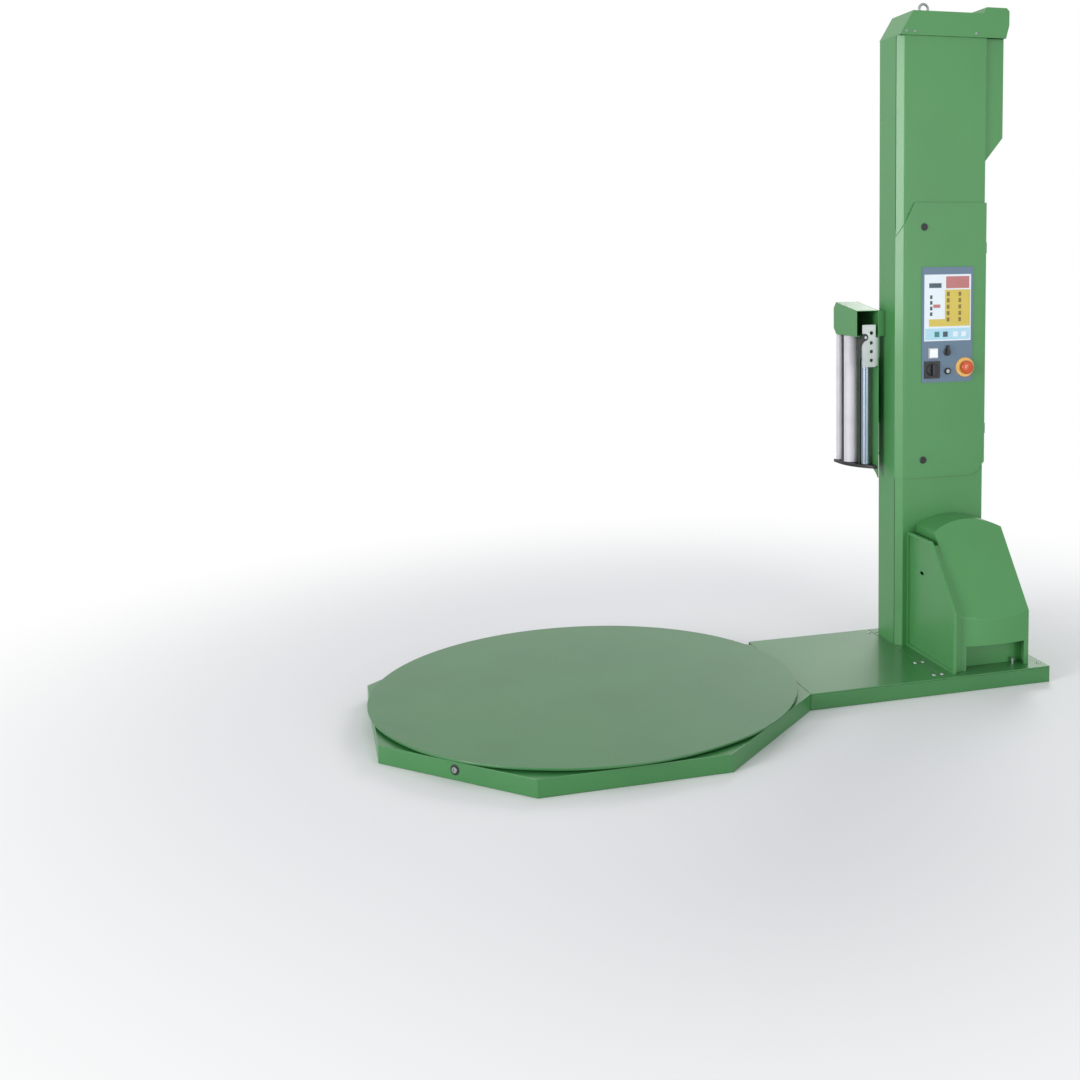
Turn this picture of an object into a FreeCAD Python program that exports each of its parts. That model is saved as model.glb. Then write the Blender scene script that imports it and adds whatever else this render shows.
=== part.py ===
import FreeCAD, Part
import math
import os

os.makedirs("parts", exist_ok=True)

V = FreeCAD.Vector
X = V(1, 0, 0)
Y = V(0, 1, 0)
Z = V(0, 0, 1)

# Driving dimensions, in millimetres. The origin is on the floor, on the turntable's axis.
# +X runs along the base to the column, +Y runs away from the operator's side, +Z is up.

# Base and turntable
table_radius = 750.0
table_sheet = 8.0
base_apothem = 735.0
base_height = 60.0
table_gap = 7.0
base_sheet = 5.0
base_floor = 6.0
base_rim_radius = 640.0
table_wheel_count = 6
table_wheel_radius = 27.0
table_wheel_width = 24.0
table_wheel_track = 590.0
wheel_pin_radius = 6.0
wheel_cheek = 5.0
wheel_cheek_gap = 1.0
wheel_cheek_half = 22.0
wheel_cheek_rise = 14.0
pivot_radius = 30.0
hub_radius = 62.0
table_edge_chamfer = 1.5

# Link between base and column
link_end = 1685.0
link_front = -305.0
link_back = 350.0
cover_sheet = 6.0
seam_x = 1250.0
seam_gap = 2.0
bolt_head_radius = 8.0
bolt_head_height = 4.0
bolt_head_chamfer = 1.0
bolt_seam_margin = 16.0
bolt_end_margin = 20.0
bolt_front_margin = 45.0
bolt_middle_y = -110.0
bolt_back_margin = 39.0
bolt_end_back_y = 60.0

# Table drive
drive_x = 1480.0
drive_y = -60.0
table_sprocket_radius = 140.0
drive_sprocket_radius = 28.0
sprocket_low = 22.0
sprocket_width = 12.0
drive_shaft_radius = 10.0
chain_thickness = 8.0
chain_height = 8.0
table_teeth = 60
drive_teeth = 12
lift_teeth = 14
tooth_root_share = 0.62
gearbox_length = 160.0
gearbox_width = 150.0
gearbox_height = 110.0
gearbox_socket = 20.0
motor_radius = 70.0
motor_height = 200.0
motor_fin_radius = 74.0
motor_fin_thickness = 4.0
motor_fin_pitch = 16.0
motor_fin_count = 8

# Column
column_left = 1260.0
column_right = 1623.0
column_front = 100.0
column_back = 270.0
column_bevel = 24.0
column_sheet = 2.5
column_top = 2390.0
mast_web = 6.0
mast_left = 1330.0
mast_right = 1553.0
mast_depth = 68.0
mast_wall = 8.0
mast_lip = 46.0
mast_flange_margin = 15.0
opening_left_margin = 16.0
opening_right_margin = 23.0
motor_window_side = 25.0
motor_window_low = 80.0
motor_window_top = 25.0

# Cap and lift motor cover
cap_sheet = 3.0
cap_rise = 90.0
cap_slope_run = 54.0
ear_left = 1606.0
ear_right = 1716.0
ear_rise = 113.0
ear_shoulder = 50.0
ear_slope_run = 14.0
ear_corner = 12.0
cap_left_wall = 3.6
cap_screw_radius = 6.0
cap_screw_height = 3.0
cap_screw_rise = 14.0
cap_screw_places = (1286.0, 1320.0, 1576.0)
motor_cover_right = 1703.0
motor_cover_straight = 372.0
motor_cover_length = 468.0
eye_x = 1411.0
eye_y = 205.0
eye_ring_radius = 18.0
eye_wire_radius = 5.0
eye_rise = 50.0
eye_collar_radius = 15.0
eye_collar_height = 6.0

# Cabinet door
door_bottom = 720.0
door_top = 1772.0
door_right = 1628.0
door_stand_off = 6.0
door_sheet = 2.0
door_opening_margin = 40.0
hinge_radius = 4.5
hinge_pin_radius = 2.5
hinge_half = 20.0
hinge_leaf = 2.5
hinge_leaf_length = 25.0
hinge_heights = (900.0, 1600.0)
door_top_cut_left = 1610.0
door_top_cut_right = 1334.0
door_low_cut = 48.0
pocket_margin = 4.0
lock_radius = 14.0
lock_head_height = 3.0
lock_slot_width = 3.0
lock_slot_length = 18.0
lock_slot_depth = 2.0
lock_shank = 8.0
lock_reach = 10.0
lock_tongue = 3.0
lock_tongue_half = 8.0
lock_tongue_length = 36.0
lock_x = 1364.0
lock_heights = {"upper": 1681.0, "lower": 789.0}

# Control panel
panel_left = 1355.0
panel_right = 1571.0
panel_bottom = 1088.0
panel_top = 1529.0
panel_sheet = 3.0
keypad_left = 1364.0
keypad_right = 1562.0
keypad_bottom = 1247.0
keypad_top = 1501.0
keypad_sheet = 1.0
start_x = 1402.0
start_z = 1201.0
selector_x = 1462.0
selector_z = 1204.0
switch_x = 1398.0
switch_z = 1137.0
key_x = 1464.0
key_z = 1130.0
stop_x = 1538.0
stop_z = 1143.0
shaft_bore = 7.0
button_bore = 9.0
start_half = 17.0
start_stand_off = 4.0
start_height = 6.0
stem_length = 14.0
selector_radius = 15.0
selector_base = 5.0
selector_height = 9.0
selector_half = 5.0
selector_tail = 10.0
selector_tip = 26.0
switch_half = 33.0
switch_sheet = 4.0
switch_radius = 24.0
switch_disc_height = 6.0
switch_grip_half = 7.0
switch_grip_length = 23.0
switch_grip_height = 20.0
key_radius = 13.0
key_height = 6.0
key_slot_half = 1.2
key_slot_reach = 6.0
key_slot_depth = 3.0
stop_ring_radius = 38.0
stop_ring_height = 8.0
stop_head_radius = 26.0
stop_head_low = 14.0
stop_head_height = 18.0
stop_head_round = 6.0
stop_stem_length = 34.0

# Electrical plate, with each unit as left, right, depth, bottom and top
plate_stand_off = 20.0
plate_sheet = 3.0
plate_side_margin = 5.0
plate_end_margin = 20.0
post_radius = 6.0
post_side_margin = 30.0
post_end_margin = 80.0
plate_units = ((1320.0, 1420.0, 90.0, 1400.0, 1640.0), (1450.0, 1570.0, 70.0, 1440.0, 1640.0),
               (1330.0, 1575.0, 40.0, 850.0, 900.0), (1330.0, 1575.0, 35.0, 1040.0, 1130.0))
relay_left = 1330.0
relay_width = 45.0
relay_pitch = 50.0
relay_depth = 60.0
relay_low = 1200.0
relay_high = 1285.0
relay_count = 5

# Drive housing
hood_left = 1340.0
hood_right = 1623.0
hood_front = -258.0
hood_knee = 265.0
hood_shoulder = 538.0
hood_shoulder_y = -50.0
hood_sheet = 2.5
hood_bulge_front = 16.0
hood_bulge_slope = 4.0
hood_bulge_top = 36.0
recess_left = 1363.0
recess_right = 1601.0
recess_top = 152.0
recess_back = -212.0
recess_sheet = 3.0
recess_panel_rise = 30.0
side_plate_x = 1300.0
side_plate_front = -282.0
side_plate_top = 512.0
side_plate_knee = 284.0
side_plate_shoulder_y = -91.0
side_plate_sheet = 4.0
side_plate_rim = 11.0
side_plate_depth = 13.0
side_neck_inset = 20.0

# How far a folded sheet's inner line moves along at an open bend and at a sharp one
bend_thin = 0.4
bend_thick = 1.6
side_slot_y = -10.0
side_slot_z = 372.0
side_slot_radius = 6.0
side_slot_length = 30.0

# Film carriage
carriage_left = 1138.0
carriage_plate_x = 1228.0
carriage_front = 212.0
carriage_depth = 225.0
carriage_sheet = 4.0
carriage_bottom = 745.0
carriage_toe = 709.0
carriage_toe_reach = 88.0
carriage_toe_swell = 0.12
flange_gap = 4.0
head_bottom = 1265.0
head_top = 1365.0
head_top_rise = 31.0
head_corner = 24.0
head_sheet = 3.0
base_plate_side = 172.0
base_plate_end = 74.0
base_plate_swell = 0.20
roller_bottom = 757.0
base_plate_thickness = 12.0
rollers = {1: (1152.0, 411.0, 12.5), 2: (1174.0, 345.0, 29.0), 3: (1199.0, 262.0, 17.0)}
guard_bars = ((1168.0, 409.0, 3.0), (1186.0, 289.0, 5.0))
roller_pin_radius = 6.0
roller_end_gap = 2.0
arm_sheet = 6.0
arm_bottom = 905.0
arm_top = 1170.0
arm_y = 362.0
arm_right = 1560.0
reel_x = 1478.0
reel_y = 496.0
reel_radius = 110.0
core_radius = 38.0
core_overhang = 5.0
spindle_radius = 16.0
spindle_overhang = 40.0
spindle_foot = 6.0
spindle_foot_radius = 48.0
film_width = 500.0
ledge_sheet = 12.0
ledge_side = 90.0
ledge_back = 60.0
gusset_sheet = 5.0
gusset_drop = 50.0
gusset_back = 40.0

# Tension bracket and its lever
bracket_left = 1160.0
bracket_right = 1216.0
bracket_bottom = 1146.0
bracket_top = 1310.0
bracket_sheet = 3.0
bracket_gap = 2.0
bracket_hole_radius = 7.0
bracket_hole_x = 1198.0
bracket_hole_heights = (1172.0, 1206.0, 1240.0, 1278.0)
bracket_tie_left = 1206.0
bracket_tie_bottom = 1150.0
bracket_tie_top_gap = 5.0
bracket_tie_sheet = 4.0
lever_x = 1168.0
lever_z = 1262.0
lever_pin_radius = 5.0
lever_pin_length = 14.0
lever_eye_radius = 14.0
lever_sheet = 8.0
lever_tip_left = 1146.0
lever_tip_right = 1156.0
lever_tip_z = 1180.0
lever_swell_left = 1137.0
lever_swell_right = 1150.0

# Lift
lift_x = 1441.0
lift_sprocket_radius = 30.0
lift_drop = 100.0
lift_lower = 150.0
lift_y = 286.0
trolley_low = 900.0
trolley_high = 1140.0
trolley_wheel_width = 22.0
trolley_sheet = 12.0
trolley_end = 40.0
trolley_side_gap = 4.0
trolley_block_margin = 20.0
trolley_boss_radius = 10.0
trolley_pin_radius = 5.0
trolley_pin_gap = 1.0
trolley_wheel_gap = 2.0
clamp_margin = 60.0
clamp_outer = 6.0
clamp_inner = 4.0

# Lift gearmotor
lift_box_half = 55.0
lift_box_depth = 90.0
lift_bore_depth = 60.0
lift_motor_radius = 40.0
lift_motor_length = 230.0
lift_motor_gap = 12.0
lift_motor_set_back = 20.0
lift_motor_rise = 50.0
lift_bridge_left = 100.0
lift_bridge_front = 2.0
lift_bridge_back = 30.0
lift_bridge_low = 10.0

# Clearances
running = 0.05
moving = 0.3

# Derived places
table_bottom = base_height + table_gap
table_top = table_bottom + table_sheet
cap_top = column_top + cap_rise
ear_top = column_top + ear_rise
ear_low = column_top + ear_shoulder
motor_cover_bend = column_top - motor_cover_straight
motor_cover_bottom = column_top - motor_cover_length
eye_top = cap_top + eye_rise
lift_upper = column_top - lift_drop
mast_back = column_back + mast_web + mast_depth
lift_mid = lift_y + sprocket_width / 2
door_front = column_front - door_stand_off
panel_front = door_front - panel_sheet
keypad_front = panel_front - keypad_sheet


def box(x0, x1, y0, y1, z0, z1):
    return Part.makeBox(x1 - x0, y1 - y0, z1 - z0, V(x0, y0, z0))


def rod(radius, length, start, direction=Z):
    return Part.makeCylinder(radius, length, start, direction)


def tube(radius, bore, length, start, direction=Z):
    return rod(radius, length, start, direction).cut(rod(bore, length, start, direction))


def prism(points, direction):
    """A closed outline of straight runs, extruded along a direction."""
    corners = [V(*p) for p in points]
    return Part.Face(Part.makePolygon(corners + corners[:1])).extrude(direction)


def fuse(shapes):
    return shapes[0].multiFuse(shapes[1:]).removeSplitter()


def save(name, shape):
    solids = shape.Solids
    whole = solids[0] if len(solids) == 1 else Part.makeCompound(solids)
    for solid in solids:
        if not solid.isValid() or solid.Volume <= 0:
            raise ValueError(name + " is not a valid solid")
    whole.exportStep("parts/" + name + ".step")


def save_group(name, shapes):
    save(name, Part.makeCompound(shapes))


def octagon(apothem, bottom, top):
    half = apothem * math.tan(math.pi / 8)
    outline = []
    for quarter in range(4):
        turn = quarter * math.pi / 2
        for side in (-half, half):
            x = apothem * math.cos(turn) - side * math.sin(turn)
            y = apothem * math.sin(turn) + side * math.cos(turn)
            outline.append((x, y, bottom))
    return prism(outline, Z * (top - bottom))


def chain_loop(a, b, radius_a, radius_b, thickness, height, normal):
    """A closed band round two wheels, with its inner face on their radii."""
    def outline(extra):
        ra = radius_a + extra
        rb = radius_b + extra
        along = b.sub(a)
        length = along.Length
        along.normalize()
        across = normal.cross(along)
        lean = (ra - rb) / length
        side = math.sqrt(1 - lean * lean)
        out = {s: along * lean + across * (side * s) for s in (-1, 1)}
        a_low = a + out[-1] * ra
        a_high = a + out[1] * ra
        b_low = b + out[-1] * rb
        b_high = b + out[1] * rb
        edges = [Part.makeLine(a_low, b_low)]
        edges.append(Part.Arc(b_low, b + along * rb, b_high).toShape())
        edges.append(Part.makeLine(b_high, a_high))
        edges.append(Part.Arc(a_high, a - along * ra, a_low).toShape())
        return Part.Face(Part.Wire(edges)).extrude(normal * height)
    return outline(thickness).cut(outline(0.0))


def sprocket(radius, width, bore, centre, axis, teeth):
    """A toothed wheel: its tips lie on the radius, and round roots are cut between them."""
    wheel = rod(radius, width, centre, axis)
    pitch = 2 * math.pi / teeth
    root = radius * math.sin(pitch / 2) * tooth_root_share
    side = X if abs(axis.dot(X)) < 0.5 else Y
    up = axis.cross(side)
    for tooth in range(teeth):
        angle = (tooth + 0.5) * pitch
        place = centre + side * (radius * math.cos(angle)) + up * (radius * math.sin(angle))
        wheel = wheel.cut(rod(root, width, place, axis))
    if bore > 0:
        wheel = wheel.cut(rod(bore, width, centre, axis))
    return wheel


# Octagonal base pan: a floor, eight sides and a top flange that leaves a round opening.
def base_pan():
    pan = octagon(base_apothem, 0, base_height)
    pan = pan.cut(octagon(base_apothem - base_sheet, base_floor, base_height - base_sheet))
    pan = pan.cut(rod(base_rim_radius, base_height, V(0, 0, base_floor)))
    window = table_sprocket_radius + 2 * chain_thickness
    return pan.cut(box(base_apothem - 2 * base_sheet, base_apothem + base_sheet,
                       -window, window, base_floor, base_height - 2 * base_sheet))


# Link tray under the cover plates, open towards the base pan.
def link_frame():
    top = base_height - cover_sheet
    tray = box(base_apothem, link_end, link_front, link_back, 0, top)
    inner = box(base_apothem - base_sheet, link_end - base_sheet, link_front + base_sheet,
                link_back - base_sheet, base_floor, top)
    rib_end = -table_sprocket_radius - chain_thickness
    ribs = [box(x, x + base_sheet, link_front + base_sheet, rib_end, base_floor, top)
            for x in (seam_x - base_sheet, side_plate_x)]
    return fuse([tray.cut(inner)] + ribs)


link_bolts = [(seam_x + side * bolt_seam_margin, y) for side in (-1, 1)
              for y in (link_front + bolt_front_margin, bolt_middle_y, mast_back - bolt_back_margin)]
end_bolts = [(link_end - bolt_end_margin, y)
             for y in (link_front + bolt_front_margin, bolt_middle_y, bolt_end_back_y)]


def cover_plate(start, end):
    return box(start, end, link_front, link_back, base_height - cover_sheet, base_height)


def foot_plate():
    plate = cover_plate(seam_x + seam_gap / 2, link_end)
    return plate.cut(rod(drive_shaft_radius + 2.0, base_height, V(drive_x, drive_y, 0)))


def floor_bolts():
    heads = [rod(bolt_head_radius, bolt_head_height, V(x, y, base_height))
             for x, y in link_bolts + end_bolts]
    return [head.makeChamfer(bolt_head_chamfer, [head.Edges[0]]) for head in heads]


save("base_pan", base_pan())
save("link_frame", link_frame())
save("link_cover_plate", cover_plate(base_apothem, seam_x - seam_gap / 2))
save("column_foot_plate", foot_plate())


# Turntable: sheet disc, hub round the fixed post, and the chain wheel under the hub.
sprocket_top = sprocket_low + sprocket_width
disc = rod(table_radius, table_sheet, V(0, 0, table_bottom))
disc_rim = [e for e in disc.Edges if abs(e.BoundBox.ZMin - table_top) < 0.01]
disc = disc.makeChamfer(table_edge_chamfer, disc_rim)
save("turntable_disc", disc)
save("turntable_hub", tube(hub_radius, pivot_radius + running, table_bottom - sprocket_top,
                           V(0, 0, sprocket_top)))
save("pivot_post", rod(pivot_radius, table_bottom - moving - base_floor, V(0, 0, base_floor)))
save("table_sprocket", sprocket(table_sprocket_radius, sprocket_width, pivot_radius + 1.0,
                                V(0, 0, sprocket_low), Z, table_teeth))

# Six support wheels on radial pins, each held between two cheeks on the pan's floor.
wheel_z = table_bottom - moving - table_wheel_radius
brackets = []
pins = []
cheek_reach = wheel_cheek + wheel_cheek_gap
for number in range(table_wheel_count):
    angle = 360.0 * (number + 0.5) / table_wheel_count
    inner = table_wheel_track - table_wheel_width / 2
    outer = table_wheel_track + table_wheel_width / 2
    wheel = tube(table_wheel_radius, wheel_pin_radius + running, table_wheel_width,
                 V(inner, 0, wheel_z), X)
    pin = rod(wheel_pin_radius, outer - inner + 2 * cheek_reach,
              V(inner - cheek_reach, 0, wheel_z), X)
    sides = [box(x, x + wheel_cheek, -wheel_cheek_half, wheel_cheek_half, base_floor,
                 wheel_z + wheel_cheek_rise) for x in (inner - cheek_reach, outer + wheel_cheek_gap)]
    for shape in [wheel, pin] + sides:
        shape.rotate(V(0, 0, 0), Z, angle)
    save("table_wheel_" + str(number + 1), wheel)
    pins.append(pin)
    brackets += [side.cut(pin) for side in sides]
save_group("wheel_brackets", brackets + pins)

# Table drive: gearmotor on the foot plate, pinion below it and the chain to the table.
shaft_top = base_height + gearbox_socket
drive_wheel = sprocket(drive_sprocket_radius, sprocket_width, 0, V(drive_x, drive_y, sprocket_low),
                       Z, drive_teeth)
drive_shaft = rod(drive_shaft_radius, shaft_top - sprocket_low, V(drive_x, drive_y, sprocket_low))
save("drive_sprocket", fuse([drive_wheel, drive_shaft]))
chain_low = sprocket_low + (sprocket_width - chain_height) / 2
save("drive_chain", chain_loop(V(0, 0, chain_low), V(drive_x, drive_y, chain_low),
                               table_sprocket_radius + moving, drive_sprocket_radius + moving,
                               chain_thickness, chain_height, Z))
gearbox_top = base_height + gearbox_height
gearbox = box(drive_x - gearbox_length / 2, drive_x + gearbox_length / 2,
              drive_y - gearbox_width / 2, drive_y + gearbox_width / 2, base_height, gearbox_top)
gearbox = gearbox.cut(rod(drive_shaft_radius + running, shaft_top - base_height + moving,
                          V(drive_x, drive_y, base_height)))
motor = rod(motor_radius, motor_height, V(drive_x, drive_y, gearbox_top))
fins = [tube(motor_fin_radius, motor_radius - 1.0, motor_fin_thickness,
             V(drive_x, drive_y, gearbox_top + motor_fin_pitch * (n + 1)))
        for n in range(motor_fin_count)]
save("table_gearmotor", fuse([gearbox, motor] + fins))


# Column shell: folded sheet with a bevelled left corner, open at the back and behind the door.
def column_outline(offset, z):
    left = column_left + offset
    right = column_right - offset
    front = column_front + offset
    bevel = column_bevel - offset * (2 - math.sqrt(2))
    return [(left, column_back, z), (left, front + bevel, z), (left + bevel, front, z),
            (right, front, z), (right, column_back, z)]


opening_left = column_left + column_bevel + opening_left_margin
opening_right = column_right - opening_right_margin
opening_low = door_bottom + door_opening_margin
opening_high = door_top - door_opening_margin
motor_window = (motor_cover_bottom + motor_window_low, column_top - motor_window_top)


def column_shell():
    height = column_top - base_height
    shell = prism(column_outline(0, base_height), Z * height)
    shell = shell.cut(prism(column_outline(column_sheet, base_height), Z * height))
    flanges = [box(x0, x1, column_back - column_sheet, column_back, base_height, column_top)
               for x0, x1 in ((column_left + column_sheet, mast_left),
                              (mast_right, column_right - column_sheet))]
    shell = fuse([shell] + flanges)
    shell = shell.cut(box(opening_left, opening_right, column_front - 1, column_front + column_sheet,
                          opening_low, opening_high))
    return shell.cut(box(column_right - column_sheet, column_right,
                         column_front + motor_window_side, column_back - motor_window_side,
                         *motor_window))


save("column_shell", column_shell())


# Mast: a lipped channel with its web against the shell and its slot to the back.
def mast_profile():
    web_back = column_back + mast_web
    pieces = [box(column_left + mast_flange_margin, column_right - mast_flange_margin,
                  column_back, web_back, base_height, column_top)]
    for wall, lip in ((mast_left, mast_left + mast_wall),
                      (mast_right - mast_wall, mast_right - mast_wall - mast_lip)):
        pieces.append(box(wall, wall + mast_wall, web_back, mast_back, base_height, column_top))
        pieces.append(box(lip, lip + mast_lip, mast_back - mast_wall, mast_back,
                          base_height, column_top))
    pieces.append(rod(drive_shaft_radius, sprocket_width + lift_y - web_back,
                      V(lift_x, web_back, lift_lower), Y))
    pieces.append(box(mast_left, mast_right, web_back, mast_back, column_top - mast_web, column_top))
    mast = fuse(pieces)
    return mast.cut(rod(drive_shaft_radius + 2.0, mast_web, V(lift_x, column_back, lift_upper), Y))


save("mast_profile", mast_profile())


# Cap: hollow hood with a sloped left end and a raised right end over the motor cover.
def cap_outline(offset, y):
    left = column_left + offset / cap_sheet * cap_left_wall
    right = ear_right - offset
    top = cap_top - offset
    tip = ear_top - offset
    slope = ear_left + offset
    return [(left, y, column_top), (left + cap_slope_run, y, top), (slope, y, top),
            (slope + ear_slope_run, y, tip), (right - ear_corner, y, tip),
            (right, y, tip - ear_corner), (right, y, ear_low),
            (motor_cover_right - offset, y, column_top + moving),
            (motor_cover_right - offset, y, column_top)]


def column_cap():
    front = column_front - door_stand_off
    outer = prism(cap_outline(0, front), Y * (column_back + mast_web - front))
    inner = prism(cap_outline(cap_sheet, front + cap_sheet),
                  Y * (column_back + mast_web - front - 2 * cap_sheet))
    return outer.cut(inner)


save("column_cap", column_cap())
eye_centre = V(eye_x, eye_y, eye_top - eye_ring_radius - eye_wire_radius)
eye_ring = Part.makeTorus(eye_ring_radius, eye_wire_radius, eye_centre, Y)
eye_collar = rod(eye_collar_radius, eye_collar_height, V(eye_x, eye_y, cap_top))
save("lifting_eye", fuse([eye_ring, eye_collar]))
cap_screws = [rod(cap_screw_radius, cap_screw_height,
                  V(x, column_front - door_stand_off, column_top + cap_screw_rise), -Y)
              for x in cap_screw_places]
save_group("bolts", floor_bolts() + cap_screws)


# Lift motor cover on the column's right side, open towards the column.
cover_left = column_right + moving
cover_front = column_front + 12.0
cover_back = column_back - 8.0


def motor_cover_outline(offset, y, left):
    right = motor_cover_right - offset
    return [(left, y, column_top - offset), (right, y, column_top - offset),
            (right, y, motor_cover_bend + offset * bend_thin),
            (left, y, motor_cover_bottom + offset * bend_thick)]


def lift_motor_cover():
    outer = prism(motor_cover_outline(0, cover_front, cover_left), Y * (cover_back - cover_front))
    inner = prism(motor_cover_outline(column_sheet, cover_front + column_sheet, cover_left - 1),
                  Y * (cover_back - cover_front - 2 * column_sheet))
    return outer.cut(inner)


save("lift_motor_cover", lift_motor_cover())

# Lift drive: gearbox on the mast's web, motor hanging beside it, shaft to the chain wheel.
gear_front = column_back - lift_box_depth
lift_box = box(lift_x - lift_box_half, mast_right, gear_front, column_back,
               lift_upper - lift_box_half, lift_upper + lift_box_half)
lift_bore = rod(drive_shaft_radius + running, lift_bore_depth + moving,
                V(lift_x, column_back, lift_upper), -Y)
motor_x = column_right + lift_motor_gap
lift_motor = rod(lift_motor_radius, lift_motor_length,
                 V(motor_x, gear_front + lift_motor_set_back, lift_upper + lift_motor_rise), -Z)
bridge = box(lift_x + lift_bridge_left, motor_x, gear_front + lift_bridge_front,
             column_back - lift_bridge_back, lift_upper - lift_bridge_low, lift_upper + lift_motor_rise)
lift_wheel = sprocket(lift_sprocket_radius, sprocket_width, 0, V(lift_x, lift_y, lift_upper), Y,
                      lift_teeth)
lift_shaft = rod(drive_shaft_radius, lift_y + sprocket_width - (column_back - lift_bore_depth),
                 V(lift_x, column_back - lift_bore_depth, lift_upper), Y)
save("lift_gearmotor", fuse([lift_box.cut(lift_bore), lift_motor, bridge.cut(lift_bore)]))
save("lift_drive_sprocket", fuse([lift_wheel, lift_shaft]))
idler = sprocket(lift_sprocket_radius, sprocket_width, drive_shaft_radius + running,
                 V(lift_x, lift_y, lift_lower), Y, lift_teeth)
save("lift_idler_sprocket", idler)
chain_y = lift_mid - chain_height / 2
save("lift_chain", chain_loop(V(lift_x, chain_y, lift_lower), V(lift_x, chain_y, lift_upper),
                              lift_sprocket_radius + moving, lift_sprocket_radius + moving,
                              chain_thickness, chain_height, Y))


# Cabinet door: folded sheet over the opening and the bevel, with two cut corners.
def door_blank(offset, back, z0, z1):
    front = door_front + offset
    reach = door_stand_off - offset
    left = column_left - reach * math.sqrt(0.5)
    knee = column_front + column_bevel - reach * math.sqrt(0.5)
    fold = column_left + column_bevel - reach * math.tan(math.pi / 8)
    right = door_right - offset
    seat_left = column_left - moving * math.sqrt(0.5)
    seat_knee = column_front + column_bevel - moving * math.sqrt(0.5)
    seat_fold = column_left + column_bevel - moving * math.tan(math.pi / 8)
    outline = [(left, knee, z0), (fold, front, z0), (right, front, z0), (right, back, z0),
               (seat_fold, back, z0), (seat_left, seat_knee, z0)]
    return prism(outline, Z * (z1 - z0))


def cabinet_door():
    back = column_front - moving
    slab = door_blank(0, back, door_bottom, door_top)
    pocket = box(opening_left + pocket_margin, opening_right - pocket_margin,
                 door_front + door_sheet, back, opening_low + pocket_margin,
                 opening_high - pocket_margin)
    slab = slab.cut(pocket)
    beyond = 20.0
    top_cut = prism([(column_left - beyond, 0, door_top_cut_left),
                     (door_top_cut_right, 0, door_top + beyond),
                     (column_left - beyond, 0, door_top + beyond)], Y * column_back)
    low_cut = prism([(door_right + beyond, 0, door_bottom + door_low_cut + beyond),
                     (door_right - door_low_cut - beyond, 0, door_bottom - beyond),
                     (door_right + beyond, 0, door_bottom - beyond)], Y * column_back)
    slab = slab.cut(top_cut).cut(low_cut)
    for z in lock_heights.values():
        slab = slab.cut(rod(lock_shank + running, bore_length, V(lock_x, door_front - 1, z), Y))
    for x, z, radius in control_bores:
        slab = slab.cut(rod(radius + running, bore_length, V(x, door_front - 1, z), Y))
    for z in hinge_heights:
        slab = slab.cut(rod(hinge_radius + 2 * moving, hinge_half + 2 * moving,
                            V(hinge_x, hinge_y, z - hinge_half - moving)))
        knuckle = rod(hinge_radius, hinge_half, V(hinge_x, hinge_y, z + moving))
        leaf = box(door_right - hinge_leaf, hinge_x, door_front + door_sheet, hinge_y, z + moving,
                   z + moving + hinge_half)
        pin = rod(hinge_pin_radius, hinge_half, V(hinge_x, hinge_y, z - hinge_half + moving))
        slab = fuse([slab, knuckle.fuse(leaf), pin])
    return slab


bore_length = 20.0
hinge_x = door_right + 1.0
hinge_y = column_front + 1.0
control_bores = [(start_x, start_z, button_bore), (selector_x, selector_z, shaft_bore),
                 (switch_x, switch_z, shaft_bore), (key_x, key_z, shaft_bore),
                 (stop_x, stop_z, button_bore)]


def bored_plate(left, right, front, back, low, high):
    plate = box(left, right, front, back, low, high)
    for x, z, radius in control_bores:
        plate = plate.cut(rod(radius + running, bore_length, V(x, front - 1, z), Y))
    return plate


save("cabinet_door", cabinet_door())
save("control_panel", bored_plate(panel_left, panel_right, panel_front, door_front,
                                  panel_bottom, panel_top))
save("keypad", box(keypad_left, keypad_right, keypad_front, panel_front, keypad_bottom, keypad_top))

# Fixed hinge halves on the column's right side, below the door's own knuckles.
fixed_hinges = []
for z in hinge_heights:
    barrel = rod(hinge_radius, hinge_half, V(hinge_x, hinge_y, z - hinge_half))
    leaf = box(column_right, column_right + hinge_leaf, hinge_y, hinge_y + hinge_leaf_length,
               z - hinge_half, z)
    bore = rod(hinge_pin_radius + running, hinge_half, V(hinge_x, hinge_y, z - hinge_half))
    fixed_hinges.append(fuse([barrel, leaf]).cut(bore))
save_group("door_hinges", fixed_hinges)

# Quarter-turn locks: a round head with a key slot, a shank through the door and a short tongue.
lock_back = door_front - moving
for place, z in lock_heights.items():
    head = rod(lock_radius, lock_head_height, V(lock_x, lock_back, z), -Y)
    head_front = lock_back - lock_head_height
    slot = box(lock_x - lock_slot_length / 2, lock_x + lock_slot_length / 2, head_front,
               head_front + lock_slot_depth, z - lock_slot_width / 2, z + lock_slot_width / 2)
    shank = rod(lock_shank, lock_reach + lock_tongue, V(lock_x, lock_back, z), Y)
    tip = z - lock_tongue_length if place == "upper" else z + lock_tongue_length
    tongue = box(lock_x - lock_tongue_half, lock_x + lock_tongue_half, lock_back + lock_reach,
                 lock_back + lock_reach + lock_tongue, min(z, tip), max(z, tip))
    save("door_lock_" + place, fuse([head.cut(slot), shank, tongue]))

# Panel controls, each a body that turns or slides in its own bore.
start_back = panel_front - start_stand_off
start_cap = box(start_x - start_half, start_x + start_half, start_back - start_height, start_back,
                start_z - start_half, start_z + start_half)
start_stem = rod(button_bore, start_height + stem_length, V(start_x, start_back - 1.0, start_z), Y)
save("start_button", fuse([start_cap, start_stem]))

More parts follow.
